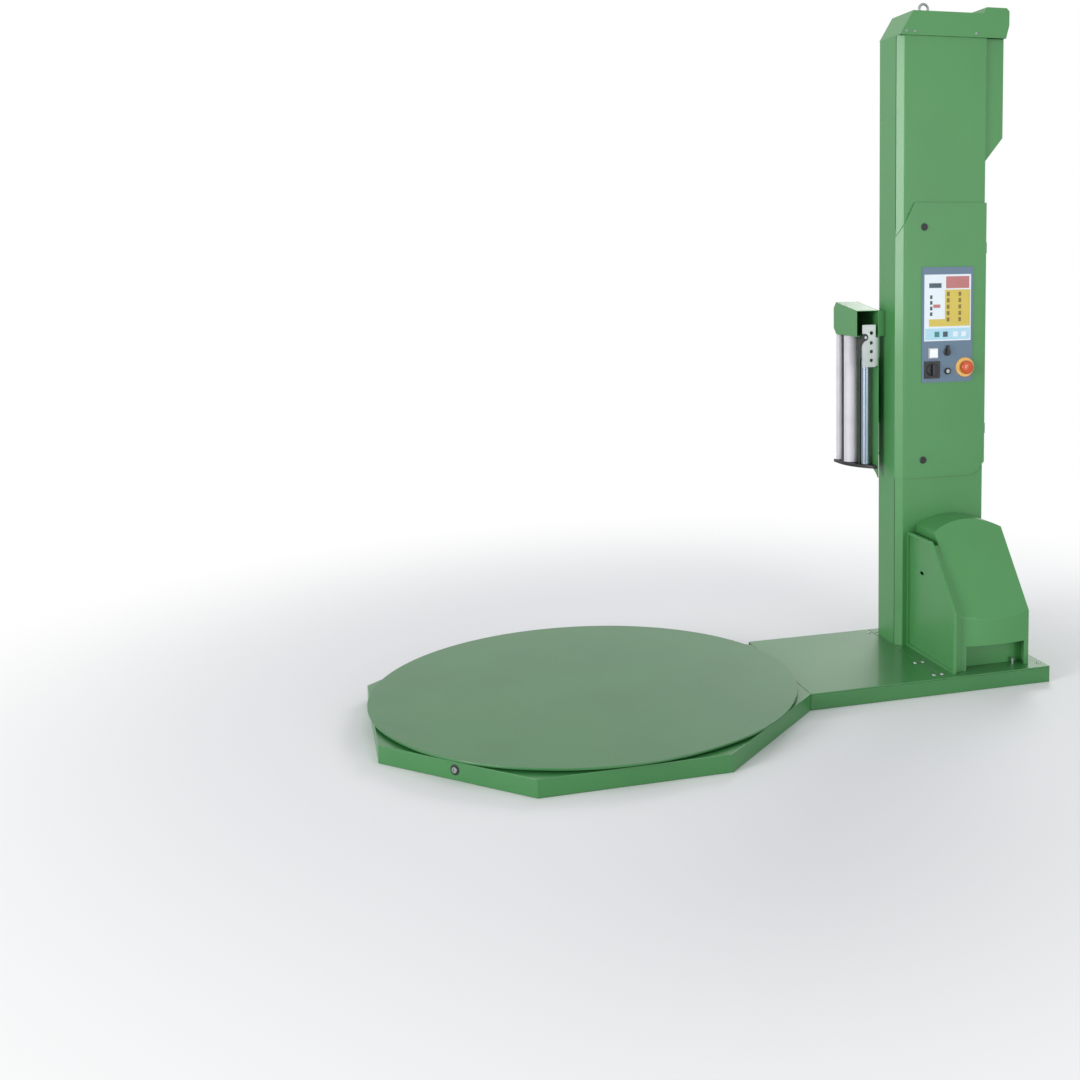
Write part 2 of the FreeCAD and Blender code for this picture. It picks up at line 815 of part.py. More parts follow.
selector_top = panel_front - selector_base
selector_disc = rod(selector_radius, selector_base, V(selector_x, panel_front - moving, selector_z), -Y)
selector_stem = rod(shaft_bore, stem_length, V(selector_x, selector_top, selector_z), Y)
selector_arm = box(selector_x - selector_half, selector_x + selector_half,
                   selector_top - selector_height, selector_top, selector_z - selector_tail,
                   selector_z + selector_tip)
save("selector_lever", fuse([selector_disc, selector_stem, selector_arm]))

switch_front = panel_front - switch_sheet
switch_bore = rod(shaft_bore + running, bore_length, V(switch_x, switch_front - 1.0, switch_z), Y)
switch_plate = box(switch_x - switch_half, switch_x + switch_half, switch_front, panel_front,
                   switch_z - switch_half, switch_z + switch_half).cut(switch_bore)
switch_disc = rod(switch_radius, switch_disc_height, V(switch_x, switch_front - moving, switch_z), -Y)
switch_grip = box(switch_x - switch_grip_half, switch_x + switch_grip_half,
                  switch_front - switch_grip_height, switch_front - switch_disc_height + 1.0,
                  switch_z - switch_grip_length, switch_z + switch_grip_length)
switch_stem = rod(shaft_bore, switch_sheet + stem_length, V(switch_x, switch_front - 1.0, switch_z), Y)
save("main_switch_plate", switch_plate)
save("main_switch", fuse([switch_disc, switch_grip, switch_stem]))

key_front = panel_front - moving - key_height
key_head = rod(key_radius, key_height, V(key_x, panel_front - moving, key_z), -Y)
key_slot = box(key_x - key_slot_half, key_x + key_slot_half, key_front - 1.0,
               key_front + key_slot_depth, key_z - key_slot_reach, key_z + key_slot_reach)
key_stem = rod(shaft_bore, stem_length, V(key_x, panel_front - key_height / 2, key_z), Y)
save("key_switch", fuse([key_head, key_stem]).cut(key_slot))

stop_ring = tube(stop_ring_radius, button_bore + 1.0, stop_ring_height,
                 V(stop_x, panel_front, stop_z), -Y)
stop_low = panel_front - stop_head_low
stop_top = stop_low - stop_head_height
stop_stem = rod(button_bore, stop_stem_length, V(stop_x, stop_low - 1.0, stop_z), Y)
stop_head = rod(stop_head_radius, stop_head_height, V(stop_x, stop_low, stop_z), -Y)
stop_head = stop_head.makeFillet(stop_head_round, [e for e in stop_head.Edges
                                                   if abs(e.BoundBox.YMax - stop_top) < 0.01])
save("stop_ring", stop_ring)
save("stop_button", fuse([stop_head, stop_stem]))

# Electrical plate inside the cabinet, with a drive unit, contactors and a terminal rail.
plate_y = column_back - column_sheet - plate_stand_off
component_plate = box(opening_left + plate_side_margin, opening_right - plate_side_margin,
                      plate_y, plate_y + plate_sheet, opening_low + plate_end_margin,
                      opening_high - plate_end_margin)
standoffs = [rod(post_radius, column_back - plate_y - plate_sheet, V(x, plate_y + plate_sheet, z), Y)
             for x in (mast_left + post_side_margin, mast_right - post_side_margin)
             for z in (opening_low + post_end_margin, opening_high - post_end_margin)]
units = [box(left, right, plate_y - depth, plate_y, low, high)
         for left, right, depth, low, high in plate_units]
for number in range(relay_count):
    left = relay_left + relay_pitch * number
    units.append(box(left, left + relay_width, plate_y - relay_depth, plate_y, relay_low, relay_high))
save_group("electrical_plate", [fuse([component_plate] + standoffs)] + units)


# Drive housing: a hood with an arched section along front, slope and top, mitred at the bends.
def arched_slab(offset, corner, along, outward, bulge, reach):
    """A prism along a direction whose outer face is an arc between the hood's two sides."""
    left = corner + X * offset - outward * offset
    right = corner + X * (hood_right - hood_left - offset) - outward * offset
    middle = corner + X * ((hood_right - hood_left) / 2) + outward * (bulge - offset)
    deep = outward * -reach
    edges = [Part.Arc(left, middle, right).toShape(), Part.makeLine(right, right + deep),
             Part.makeLine(right + deep, left + deep), Part.makeLine(left + deep, left)]
    start = Part.Face(Part.Wire(edges))
    start.translate(along * -reach)
    return start.extrude(along * (2 * reach))


def hood_solid(offset):
    reach = 2 * hood_shoulder
    slope = V(0, hood_shoulder_y - hood_front, hood_shoulder - hood_knee)
    slope.normalize()
    front = arched_slab(offset, V(hood_left, hood_front, base_height), Z, -Y, hood_bulge_front, reach)
    face = arched_slab(offset, V(hood_left, hood_front, hood_knee), slope, slope.cross(X) * -1,
                       hood_bulge_slope, reach)
    top = arched_slab(offset, V(hood_left, hood_shoulder_y, hood_shoulder), Y, Z, hood_bulge_top,
                      reach)
    beyond = 2 * hood_bulge_top
    room = box(hood_left - beyond, hood_right + beyond, hood_front - beyond, column_front,
               base_height, hood_shoulder + beyond)
    return front.common(face).common(top).common(room)


def drive_hood():
    hood = hood_solid(0).cut(hood_solid(hood_sheet))
    return hood.cut(box(recess_left, recess_right, hood_front - 2 * hood_bulge_front, recess_back,
                        base_height, recess_top))


save("drive_hood", drive_hood())
inner_left = hood_left + hood_sheet
inner_right = hood_right - hood_sheet
recess_panel = box(inner_left, inner_right, recess_back, recess_back + recess_sheet, base_height,
                   recess_top + recess_panel_rise)
save("drive_inner_panel", recess_panel)


# Side plate: a panel set back in a narrow rim, on a neck that stands in from the rim's edge
# and meets the hood's left side. A cable slot goes through the panel.
def side_outline(x, inset):
    return [(x, column_front, base_height), (x, column_front, side_plate_top - inset),
            (x, side_plate_shoulder_y + inset * bend_thin, side_plate_top - inset),
            (x, side_plate_front + inset, side_plate_knee - inset * bend_thin),
            (x, side_plate_front + inset, base_height)]


def drive_side_plate():
    neck_x = side_plate_x + side_plate_depth
    panel_x = neck_x - side_plate_sheet
    neck = hood_left - neck_x
    rim = prism(side_outline(side_plate_x, 0), X * side_plate_depth)
    pocket = prism(side_outline(side_plate_x, side_plate_rim), X * (panel_x - side_plate_x))
    inner_room = box(side_plate_x, hood_left, side_plate_front, column_front - side_plate_rim,
                     base_height + side_plate_rim, side_plate_top)
    wall = prism(side_outline(neck_x, side_neck_inset), X * neck)
    wall_room = prism(side_outline(neck_x, side_neck_inset + side_plate_sheet), X * neck)
    plate = fuse([rim.cut(pocket.common(inner_room)), wall.cut(wall_room.common(inner_room))])
    half = side_slot_length / 2 - side_slot_radius
    slot = box(panel_x, neck_x, side_slot_y - half, side_slot_y + half,
               side_slot_z - side_slot_radius, side_slot_z + side_slot_radius)
    ends = [rod(side_slot_radius, side_plate_sheet, V(panel_x, y, side_slot_z), X)
            for y in (side_slot_y - half, side_slot_y + half)]
    return plate.cut(fuse([slot] + ends))


save("drive_side_plate", drive_side_plate())


# Film carriage: side plate beside the column, whose lower edge sweeps down towards the
# operator, and an arm plate behind the mast with a ledge for the film roll.
carriage_back = carriage_front + carriage_depth


def head_outline(x, offset):
    """Side view of the head box: its top climbs to the back and its back corners are cut."""
    front = carriage_front
    back = carriage_back - offset
    top = head_top - offset
    climb = head_top_rise * (1 - head_corner / carriage_depth)
    return [V(x, front, head_bottom + offset), V(x, front, top),
            V(x, back - head_corner, top + climb), V(x, back, top + climb - head_corner),
            V(x, back, head_bottom + offset + head_corner), V(x, back - head_corner, head_bottom + offset)]


def carriage_side():
    x = carriage_plate_x
    front_low, front_top, top_back, back_top, back_low, low_back = head_outline(x, 0)
    heel = V(x, carriage_front + carriage_toe_reach, carriage_bottom)
    toe = V(x, carriage_front, carriage_toe)
    along = heel - toe
    sweep = toe + along * 0.5 + V(0, -along.z, along.y) * carriage_toe_swell
    edges = [Part.makeLine(toe, front_top), Part.makeLine(front_top, top_back),
             Part.makeLine(top_back, back_top),
             Part.makeLine(back_top, V(x, carriage_back, carriage_bottom)),
             Part.makeLine(V(x, carriage_back, carriage_bottom), heel),
             Part.Arc(heel, sweep, toe).toShape()]
    return Part.Face(Part.Wire(edges)).extrude(X * carriage_sheet)


def carriage_frame():
    ledge_left = reel_x - ledge_side
    ledge_low = roller_bottom - ledge_sheet
    gusset_low = roller_bottom - gusset_drop
    arm_back = arm_y + arm_sheet
    flange = box(carriage_plate_x, column_left - flange_gap, carriage_front,
                 carriage_front + carriage_sheet, head_bottom, head_top)
    arm = box(carriage_plate_x, arm_right, arm_y, arm_back, arm_bottom, arm_top)
    ledge = box(ledge_left, arm_right, arm_y, reel_y + ledge_back, ledge_low, roller_bottom)
    web = box(ledge_left, arm_right, arm_y, arm_back, gusset_low, arm_bottom)
    gussets = [box(x, x + gusset_sheet, arm_back, reel_y + gusset_back, gusset_low, ledge_low)
               for x in (ledge_left, arm_right - gusset_sheet)]
    return fuse([carriage_side(), flange, arm, ledge, web] + gussets)


save("carriage_frame", carriage_frame())


def head_block(offset):
    outline = head_outline(carriage_left + offset, offset)
    return prism([tuple(p) for p in outline], X * (carriage_plate_x - carriage_left - offset))


save("head_box", head_block(0).cut(head_block(head_sheet)))


# Plate under the rollers: its near left side is one long curve from the side plate.
def roller_base():
    low = roller_bottom - base_plate_thickness
    near = carriage_front + carriage_sheet
    start = V(carriage_left, near + base_plate_side, low)
    end = V(carriage_left + base_plate_end, near, low)
    along = end - start
    middle = start + along * 0.5 + V(along.y, -along.x, 0) * (base_plate_swell / 2)
    back_left = V(carriage_left, carriage_back, low)
    back_right = V(carriage_plate_x, carriage_back, low)
    near_right = V(carriage_plate_x, near, low)
    edges = [Part.Arc(start, middle, end).toShape(), Part.makeLine(end, near_right),
             Part.makeLine(near_right, back_right), Part.makeLine(back_right, back_left),
             Part.makeLine(back_left, start)]
    return Part.Face(Part.Wire(edges)).extrude(Z * base_plate_thickness)


save("roller_base_plate", roller_base())
save_group("guard_bars", [rod(radius, head_bottom - roller_bottom, V(x, y, roller_bottom))
                          for x, y, radius in guard_bars])
shafts = []
for number, (x, y, radius) in rollers.items():
    shafts.append(rod(roller_pin_radius, head_bottom - roller_bottom, V(x, y, roller_bottom)))
    save("roller_" + str(number), tube(radius, roller_pin_radius + running,
                                       head_bottom - roller_bottom - 2 * roller_end_gap,
                                       V(x, y, roller_bottom + roller_end_gap)))
save_group("roller_shafts", shafts)

# Film roll on its core and spindle, standing on the carriage's ledge.
core_base = roller_bottom + spindle_foot + moving
save("reel_spindle", fuse([rod(spindle_radius, film_width + spindle_overhang,
                               V(reel_x, reel_y, roller_bottom)),
                           rod(spindle_foot_radius, spindle_foot, V(reel_x, reel_y, roller_bottom))]))
film_core = tube(core_radius, spindle_radius + running, film_width, V(reel_x, reel_y, core_base))
film_wound = tube(reel_radius, core_radius, film_width - 2 * core_overhang,
                  V(reel_x, reel_y, core_base + core_overhang))
save_group("film_roll", [film_core, film_wound])

# Tension bracket under the head box, with a curved release lever on its left.
bracket_back = carriage_front - bracket_gap
bracket_front = bracket_back - bracket_sheet
bracket = box(bracket_left, bracket_right, bracket_front, bracket_back, bracket_bottom, bracket_top)
for z in bracket_hole_heights:
    bracket = bracket.cut(rod(bracket_hole_radius, bracket_sheet, V(bracket_hole_x, bracket_front, z), Y))
tie_top = head_bottom - bracket_tie_top_gap
bracket_arm = box(bracket_tie_left, bracket_right, bracket_back, carriage_front, bracket_tie_bottom,
                  tie_top)
bracket_tie = box(bracket_tie_left, carriage_plate_x, carriage_front,
                  carriage_front + bracket_tie_sheet, bracket_tie_bottom, tie_top)
lever_pin = rod(lever_pin_radius, lever_pin_length, V(lever_x, bracket_front, lever_z), -Y)
save("tension_bracket", fuse([bracket, bracket_arm.fuse(bracket_tie), lever_pin]))


def tension_lever():
    y = bracket_front - moving
    outer_top = V(lever_x, y, lever_z + lever_eye_radius)
    inner_top = V(lever_x, y, lever_z - lever_eye_radius)
    outer_tip = V(lever_tip_left, y, lever_tip_z)
    inner_tip = V(lever_tip_right, y, lever_tip_z)
    outer_middle = V(lever_swell_left, y, (outer_top.z + outer_tip.z) / 2)
    inner_middle = V(lever_swell_right, y, (inner_top.z + inner_tip.z) / 2)
    edges = [Part.Arc(outer_top, outer_middle, outer_tip).toShape(),
             Part.makeLine(outer_tip, inner_tip),
             Part.Arc(inner_tip, inner_middle, inner_top).toShape(),
             Part.makeLine(inner_top, outer_top)]
    arm = Part.Face(Part.Wire(edges)).extrude(Y * -lever_sheet)
    eye = rod(lever_eye_radius, lever_sheet, V(lever_x, y, lever_z), -Y)
    bore = rod(lever_pin_radius + running, lever_sheet, V(lever_x, y, lever_z), -Y)
    return fuse([arm, eye]).cut(bore)


save("tension_lever", tension_lever())


# Trolley in the mast: a plate with pins for four wheels and a block out through the slot.
wheel_room = mast_depth - mast_wall
trolley_radius = wheel_room / 2 - moving
trolley_y = column_back + mast_web + wheel_room / 2
rail_left = mast_left + mast_wall
rail_right = mast_right - mast_wall
plate_left = rail_left + trolley_wheel_width + trolley_side_gap
plate_right = rail_right - trolley_wheel_width - trolley_side_gap


def trolley():
    plate = box(plate_left, plate_right, trolley_y, trolley_y + trolley_sheet,
                trolley_low - trolley_end, trolley_high + trolley_end)
    slot_left = rail_left + mast_lip + trolley_side_gap
    slot_right = rail_right - mast_lip - trolley_side_gap
    block = box(slot_left, slot_right, trolley_y + trolley_sheet, arm_y,
                trolley_low + trolley_block_margin, trolley_high - trolley_block_margin)
    pieces = [plate, block]
    for z in (trolley_low, trolley_high):
        pieces.append(rod(trolley_boss_radius, plate_right - plate_left,
                          V(plate_left, trolley_y + trolley_side_gap, z), X))
        pieces.append(rod(trolley_pin_radius, rail_right - rail_left - 2 * trolley_pin_gap,
                          V(rail_left + trolley_pin_gap, trolley_y, z), X))
    body = fuse(pieces)
    chain_side = lift_x - lift_sprocket_radius - moving
    clamp = box(chain_side - chain_thickness - clamp_outer, chain_side + clamp_inner,
                chain_y + chain_height + moving, trolley_y, trolley_low + clamp_margin,
                trolley_high - clamp_margin)
    return fuse([body, clamp])


save("trolley", trolley())
for place, z in (("lower", trolley_low), ("upper", trolley_high)):
    save_group("trolley_wheels_" + place,
               [tube(trolley_radius, trolley_pin_radius + running, trolley_wheel_width,
                     V(x, trolley_y, z), X)
                for x in (rail_left + trolley_wheel_gap,
                          rail_right - trolley_wheel_gap - trolley_wheel_width)])
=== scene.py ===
from math import pi, radians, tan

import bmesh
import bpy
from mathutils import Matrix, Vector


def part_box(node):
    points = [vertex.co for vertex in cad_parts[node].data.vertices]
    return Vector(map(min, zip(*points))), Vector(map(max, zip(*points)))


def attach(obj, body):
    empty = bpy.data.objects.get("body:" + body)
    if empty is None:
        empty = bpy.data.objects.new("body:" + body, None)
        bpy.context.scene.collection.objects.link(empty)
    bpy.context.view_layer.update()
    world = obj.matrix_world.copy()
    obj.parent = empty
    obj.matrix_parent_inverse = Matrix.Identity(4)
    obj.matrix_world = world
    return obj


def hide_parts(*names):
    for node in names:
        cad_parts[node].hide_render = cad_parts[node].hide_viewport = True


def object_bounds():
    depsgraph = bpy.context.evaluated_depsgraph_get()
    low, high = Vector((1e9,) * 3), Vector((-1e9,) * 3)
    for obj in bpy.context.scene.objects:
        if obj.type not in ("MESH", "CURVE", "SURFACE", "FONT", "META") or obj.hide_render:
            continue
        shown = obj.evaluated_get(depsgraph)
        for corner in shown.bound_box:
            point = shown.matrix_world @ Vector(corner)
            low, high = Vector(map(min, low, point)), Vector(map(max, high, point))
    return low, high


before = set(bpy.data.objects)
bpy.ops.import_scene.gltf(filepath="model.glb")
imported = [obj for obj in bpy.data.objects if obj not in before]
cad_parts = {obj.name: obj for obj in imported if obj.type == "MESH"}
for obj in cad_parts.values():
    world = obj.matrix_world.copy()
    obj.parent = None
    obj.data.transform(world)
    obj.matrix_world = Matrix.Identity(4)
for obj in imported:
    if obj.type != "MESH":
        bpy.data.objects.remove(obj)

cad_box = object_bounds()
scene = bpy.context.scene
scene.view_settings.view_transform = "Standard"


# Studio: a pale floor that fades to white away from the machine, a soft sky and four lamps.
# The left side and the front are lit most, the top least, and a lamp behind lights the mast.
sky = bpy.data.worlds.new("studio_sky")
sky.use_nodes = True
scene.world = sky
sky_nodes = sky.node_tree
sky_light = sky_nodes.nodes["Background"]
sky_light.inputs["Color"].default_value = (0.93, 0.95, 1.0, 1)
sky_light.inputs["Strength"].default_value = 0.60
sky_white = sky_nodes.nodes.new("ShaderNodeBackground")
sky_white.inputs["Color"].default_value = (1, 1, 1, 1)
sky_mix = sky_nodes.nodes.new("ShaderNodeMixShader")
sky_path = sky_nodes.nodes.new("ShaderNodeLightPath")
sky_seen = sky_nodes.nodes.new("ShaderNodeMath")
sky_seen.operation = "MAXIMUM"
sky_nodes.links.new(sky_path.outputs["Is Camera Ray"], sky_seen.inputs[0])
sky_nodes.links.new(sky_path.outputs["Is Glossy Ray"], sky_seen.inputs[1])
sky_nodes.links.new(sky_seen.outputs[0], sky_mix.inputs[0])
sky_nodes.links.new(sky_light.outputs[0], sky_mix.inputs[1])
sky_nodes.links.new(sky_white.outputs[0], sky_mix.inputs[2])
sky_nodes.links.new(sky_mix.outputs[0], sky_nodes.nodes["World Output"].inputs["Surface"])

floor_half = 30
floor_gap = 0.0005
fade_centre = (0.5, 0, 0)
fade_start, fade_end = 1.3, 3.4
floor_colour = bpy.data.materials.new("pale_floor")
floor_colour.use_nodes = True
floor_shader = floor_colour.node_tree.nodes["Principled BSDF"]
floor_shader.inputs["Base Color"].default_value = (0.80, 0.80, 0.80, 1)
floor_shader.inputs["Roughness"].default_value = 0.7
floor_tree = floor_colour.node_tree
floor_glow = floor_tree.nodes.new("ShaderNodeEmission")
floor_mix = floor_tree.nodes.new("ShaderNodeMixShader")
floor_path = floor_tree.nodes.new("ShaderNodeLightPath")
floor_spot = floor_tree.nodes.new("ShaderNodeTexCoord")
floor_far = floor_tree.nodes.new("ShaderNodeVectorMath")
floor_far.operation = "DISTANCE"
floor_far.inputs[1].default_value = fade_centre
floor_fade = floor_tree.nodes.new("ShaderNodeMapRange")
floor_fade.interpolation_type = "SMOOTHSTEP"
floor_fade.inputs["From Min"].default_value = fade_start
floor_fade.inputs["From Max"].default_value = fade_end
floor_both = floor_tree.nodes.new("ShaderNodeMath")
floor_both.operation = "MULTIPLY"
floor_tree.links.new(floor_spot.outputs["Object"], floor_far.inputs[0])
floor_tree.links.new(floor_far.outputs["Value"], floor_fade.inputs["Value"])
floor_tree.links.new(floor_fade.outputs["Result"], floor_both.inputs[0])
floor_tree.links.new(floor_path.outputs["Is Camera Ray"], floor_both.inputs[1])
floor_tree.links.new(floor_both.outputs[0], floor_mix.inputs[0])
floor_tree.links.new(floor_shader.outputs[0], floor_mix.inputs[1])
floor_tree.links.new(floor_glow.outputs[0], floor_mix.inputs[2])
floor_tree.links.new(floor_mix.outputs[0], floor_tree.nodes["Material Output"].inputs["Surface"])
floor_mesh = bpy.data.meshes.new("studio_floor")
floor_bm = bmesh.new()
bmesh.ops.create_grid(floor_bm, x_segments=1, y_segments=1, size=floor_half)
floor_bm.to_mesh(floor_mesh)
floor_bm.free()
floor = bpy.data.objects.new("studio_floor", floor_mesh)
floor_mesh.materials.append(floor_colour)
floor.location.z = -floor_gap
scene.collection.objects.link(floor)

middle = (cad_box[0] + cad_box[1]) / 2
for lamp_name, place, size, power in (
        ("key_lamp", (-8.0, -3.8, 2.4), 3.6, 520),
        ("top_lamp", (0.4, 0.2, 6.5), 4.0, 25),
        ("side_lamp", (3.0, -7.5, 1.6), 3.0, 150),
        ("rear_lamp", (4.4, 4.6, 4.2), 2.6, 120)):
    lamp_data = bpy.data.lights.new(lamp_name, "AREA")
    lamp_data.shape = "DISK"
    lamp_data.size = size
    lamp_data.energy = power
    lamp = bpy.data.objects.new(lamp_name, lamp_data)
    lamp.location = place
    lamp.rotation_euler = (middle - Vector(place)).to_track_quat("-Z", "Y").to_euler()
    scene.collection.objects.link(lamp)

camera_data = bpy.data.cameras.new("camera")
camera_data.lens = 43.5
camera_data.shift_x = -0.146
camera_data.shift_y = -0.135
camera = bpy.data.objects.new("camera", camera_data)
camera_turn = Matrix.Rotation(radians(-17.088), 3, "Z")
camera_tilt = Matrix.Rotation(radians(90 - 6.123), 3, "X")
camera_roll = Matrix.Rotation(radians(-0.703), 3, "Z")
camera.matrix_world = Matrix.Translation((-0.926, -4.409, 1.589)) @ (
    camera_turn @ camera_tilt @ camera_roll).to_4x4()
scene.collection.objects.link(camera)
scene.camera = camera


# Base and link: folded green sheet, an octagonal pan for the table and a flat tray to the column.
# The paint's shade and gloss drift over each sheet, and every cut edge has a small radius.
def group_of(name, inputs, outputs):
    group = bpy.data.node_groups.new(name, "ShaderNodeTree")
    for label, kind, value in inputs:
        socket = group.interface.new_socket(label, in_out="INPUT", socket_type=kind)
        socket.default_value = value
    for label, kind in outputs:
        group.interface.new_socket(label, in_out="OUTPUT", socket_type=kind)
    return group, group.nodes.new("NodeGroupInput"), group.nodes.new("NodeGroupOutput")


COLOUR, NUMBER, VECTOR = "NodeSocketColor", "NodeSocketFloat", "NodeSocketVector"


def noise_in(group, where, scale, detail, stretch=(1, 1, 1)):
    mapping = group.nodes.new("ShaderNodeMapping")
    mapping.inputs["Scale"].default_value = stretch
    noise = group.nodes.new("ShaderNodeTexNoise")
    noise.inputs["Scale"].default_value = scale
    noise.inputs["Detail"].default_value = detail
    group.links.new(where.outputs["Object"], mapping.inputs["Vector"])
    group.links.new(mapping.outputs["Vector"], noise.inputs["Vector"])
    return noise


def ranged(group, source, low, high, start=0.0, end=1.0):
    step = group.nodes.new("ShaderNodeMapRange")
    step.inputs["From Min"].default_value = start
    step.inputs["From Max"].default_value = end
    step.inputs["To Min"].default_value = low
    step.inputs["To Max"].default_value = high
    group.links.new(source, step.inputs["Value"])
    return step.outputs["Result"]


def mixed(group, factor, first, second):
    mix = group.nodes.new("ShaderNodeMix")
    mix.data_type = "RGBA"
    for place, source in ((0, factor), (6, first), (7, second)):
        group.links.new(source, mix.inputs[place])
    return mix.outputs[2]


def skin_group(name, cloud_scale, grain_scale, stretch=(1, 1, 1)):
    group, given, result = group_of(
        name,
        [("Colour", COLOUR, (0.5, 0.5, 0.5, 1)), ("Worn Colour", COLOUR, (0.6, 0.6, 0.6, 1)),
         ("Cloud", NUMBER, 0.2), ("Roughness", NUMBER, 0.3), ("Spread", NUMBER, 0.08),
         ("Grain", NUMBER, 0.1)],
        [("Colour", COLOUR), ("Roughness", NUMBER), ("Normal", VECTOR)])
    where = group.nodes.new("ShaderNodeTexCoord")
    cloud = noise_in(group, where, cloud_scale, 5)
    grain = noise_in(group, where, grain_scale, 2, stretch)
    scale = group.nodes.new("ShaderNodeMath")
    scale.operation = "MULTIPLY"
    group.links.new(ranged(group, cloud.outputs["Fac"], 0, 1, 0.42, 0.72), scale.inputs[0])
    group.links.new(given.outputs["Cloud"], scale.inputs[1])
    colour = mixed(group, scale.outputs[0], given.outputs["Colour"], given.outputs["Worn Colour"])
    spread = group.nodes.new("ShaderNodeMath")
    spread.operation = "MULTIPLY_ADD"
    group.links.new(ranged(group, grain.outputs["Fac"], -0.5, 0.5), spread.inputs[0])
    group.links.new(given.outputs["Spread"], spread.inputs[1])
    group.links.new(given.outputs["Roughness"], spread.inputs[2])
    bump = group.nodes.new("ShaderNodeBump")
    bump.inputs["Distance"].default_value = 0.0006
    group.links.new(given.outputs["Grain"], bump.inputs["Strength"])
    group.links.new(grain.outputs["Fac"], bump.inputs["Height"])
    group.links.new(colour, result.inputs["Colour"])
    group.links.new(spread.outputs[0], result.inputs["Roughness"])
    group.links.new(bump.outputs["Normal"], result.inputs["Normal"])
    return group


paint_skin = skin_group("paint_skin", 3.0, 260)


def shade(code):
    """A display colour such as 7fa084, as the linear value that a shader takes."""
    parts = [int(code[i:i + 2], 16) / 255 for i in (0, 2, 4)]
    return (*[p / 12.92 if p <= 0.04045 else ((p + 0.055) / 1.055) ** 2.4 for p in parts], 1)


def finish_of(name, skin, colour, worn, cloud, roughness, spread, grain, metallic=0.0, coat=0.0,
              coat_roughness=0.1):
    material = bpy.data.materials.new(name)
    material.use_nodes = True
    tree = material.node_tree
    surface = tree.nodes["Principled BSDF"]
    effect = tree.nodes.new("ShaderNodeGroup")
    effect.node_tree = skin
    for label, value in (("Colour", shade(colour)), ("Worn Colour", shade(worn)), ("Cloud", cloud),
                         ("Roughness", roughness), ("Spread", spread), ("Grain", grain)):
        effect.inputs[label].default_value = value
    tree.links.new(effect.outputs["Colour"], surface.inputs["Base Color"])
    tree.links.new(effect.outputs["Roughness"], surface.inputs["Roughness"])
    tree.links.new(effect.outputs["Normal"], surface.inputs["Normal"])
    surface.inputs["Metallic"].default_value = metallic
    surface.inputs["Coat Weight"].default_value = coat
    surface.inputs["Coat Roughness"].default_value = coat_roughness
    return material


def fit_piece(name, shape, body, material, stands_for=()):
    """Stores a shape as a piece, shades it and ties it to its body."""
    sharp_from = radians(32)
    mesh = bpy.data.meshes.new(name)
    shape.to_mesh(mesh)
    shape.free()
    for polygon in mesh.polygons:
        polygon.use_smooth = True
    mesh.set_sharp_from_angle(angle=sharp_from)
    mesh.materials.append(material)
    piece = bpy.data.objects.new(name, mesh)
    scene.collection.objects.link(piece)
    flat = piece.modifiers.new("even_shading", "WEIGHTED_NORMAL")
    flat.keep_sharp = True
    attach(piece, body)
    if stands_for:
        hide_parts(*stands_for)


def rounded(shape, edges, offset, segments=2):
    bmesh.ops.bevel(shape, geom=edges, offset=offset, offset_type="OFFSET", segments=segments,
                    profile=0.5, affect="EDGES", clamp_overlap=True, material=-1)


def rounded_copy(node, edge, fold=None):
    """The frame's own shape with its edges rounded, and the long bend at fold rounded first."""
    bend_radius, bend_segments = 0.0045, 4
    shortest_bend, reach = 0.05, 0.0006
    sharp_from = radians(20)
    shape = bmesh.new()
    shape.from_mesh(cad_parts[node].data)
    bmesh.ops.remove_doubles(shape, verts=shape.verts, dist=1e-5)
    bmesh.ops.dissolve_limit(shape, angle_limit=radians(0.6), verts=shape.verts, edges=shape.edges)
    if fold:
        folds = [e for e in shape.edges if e.calc_length() > shortest_bend and all(
            abs(v.co.x - fold[0]) < reach and abs(v.co.y - fold[1]) < reach for v in e.verts)]
        rounded(shape, folds, bend_radius, bend_segments)
        sharp_from = radians(25)
    sharp = [e for e in shape.edges
             if len(e.link_faces) == 2 and e.calc_face_angle(0) > sharp_from]
    rounded(shape, sharp, edge)
    return shape


def fit_copy(node, ending, edge, body, material, fold=None):
    fit_piece(node + ending, rounded_copy(node, edge, fold), body, material, [node])


# Painted shade: the base, link and foot plates take the column's green made darker, for flat sheet lit
# less from above.
shaded_table_paint = finish_of("shaded_table_paint", paint_skin, "35773d", "2f6c37", 0.6, 0.42, 0.12, 0.12,
                        coat=0.3, coat_roughness=0.07)
for node, edge in (("base_pan", 0.003), ("link_frame", 0.002), ("link_cover_plate", 0.0015),
                   ("column_foot_plate", 0.0015)):
    fit_copy(node, "_sheet", edge, "machine", shaded_table_paint)


# Turntable: one 8 mm steel disc, its rim eased, its green painted a little darker than the base's as
# painted shade on its flat top.
# It is lathe work: a half outline of radius and height is spun about an axis.
def turned(outline, centre, axis="Z", steps=48):
    shape = bmesh.new()
    ring = [shape.verts.new((radius, 0, height)) for radius, height in outline]
    edges = [shape.edges.new(pair) for pair in zip(ring, ring[1:])]
    bmesh.ops.spin(shape, geom=ring + edges, cent=(0, 0, 0), axis=(0, 0, 1), angle=2 * pi,
                   steps=steps, use_merge=True)
    bmesh.ops.remove_doubles(shape, verts=shape.verts, dist=1e-6)
    bmesh.ops.recalc_face_normals(shape, faces=shape.faces)
    turn = Matrix.Rotation(pi / 2, 4, "X") if axis == "-Y" else Matrix()
    bmesh.ops.transform(shape, matrix=Matrix.Translation(centre) @ turn, verts=shape.verts)
    return shape


def eased(radius, low, high, ease):
    """A closed round bar's outline with its two rims eased."""
    return [(0, low), (radius - ease, low), (radius - ease * 0.3, low + ease * 0.3),
            (radius, low + ease), (radius, high - ease), (radius - ease * 0.3, high - ease * 0.3),
            (radius - ease, high), (0, high)]
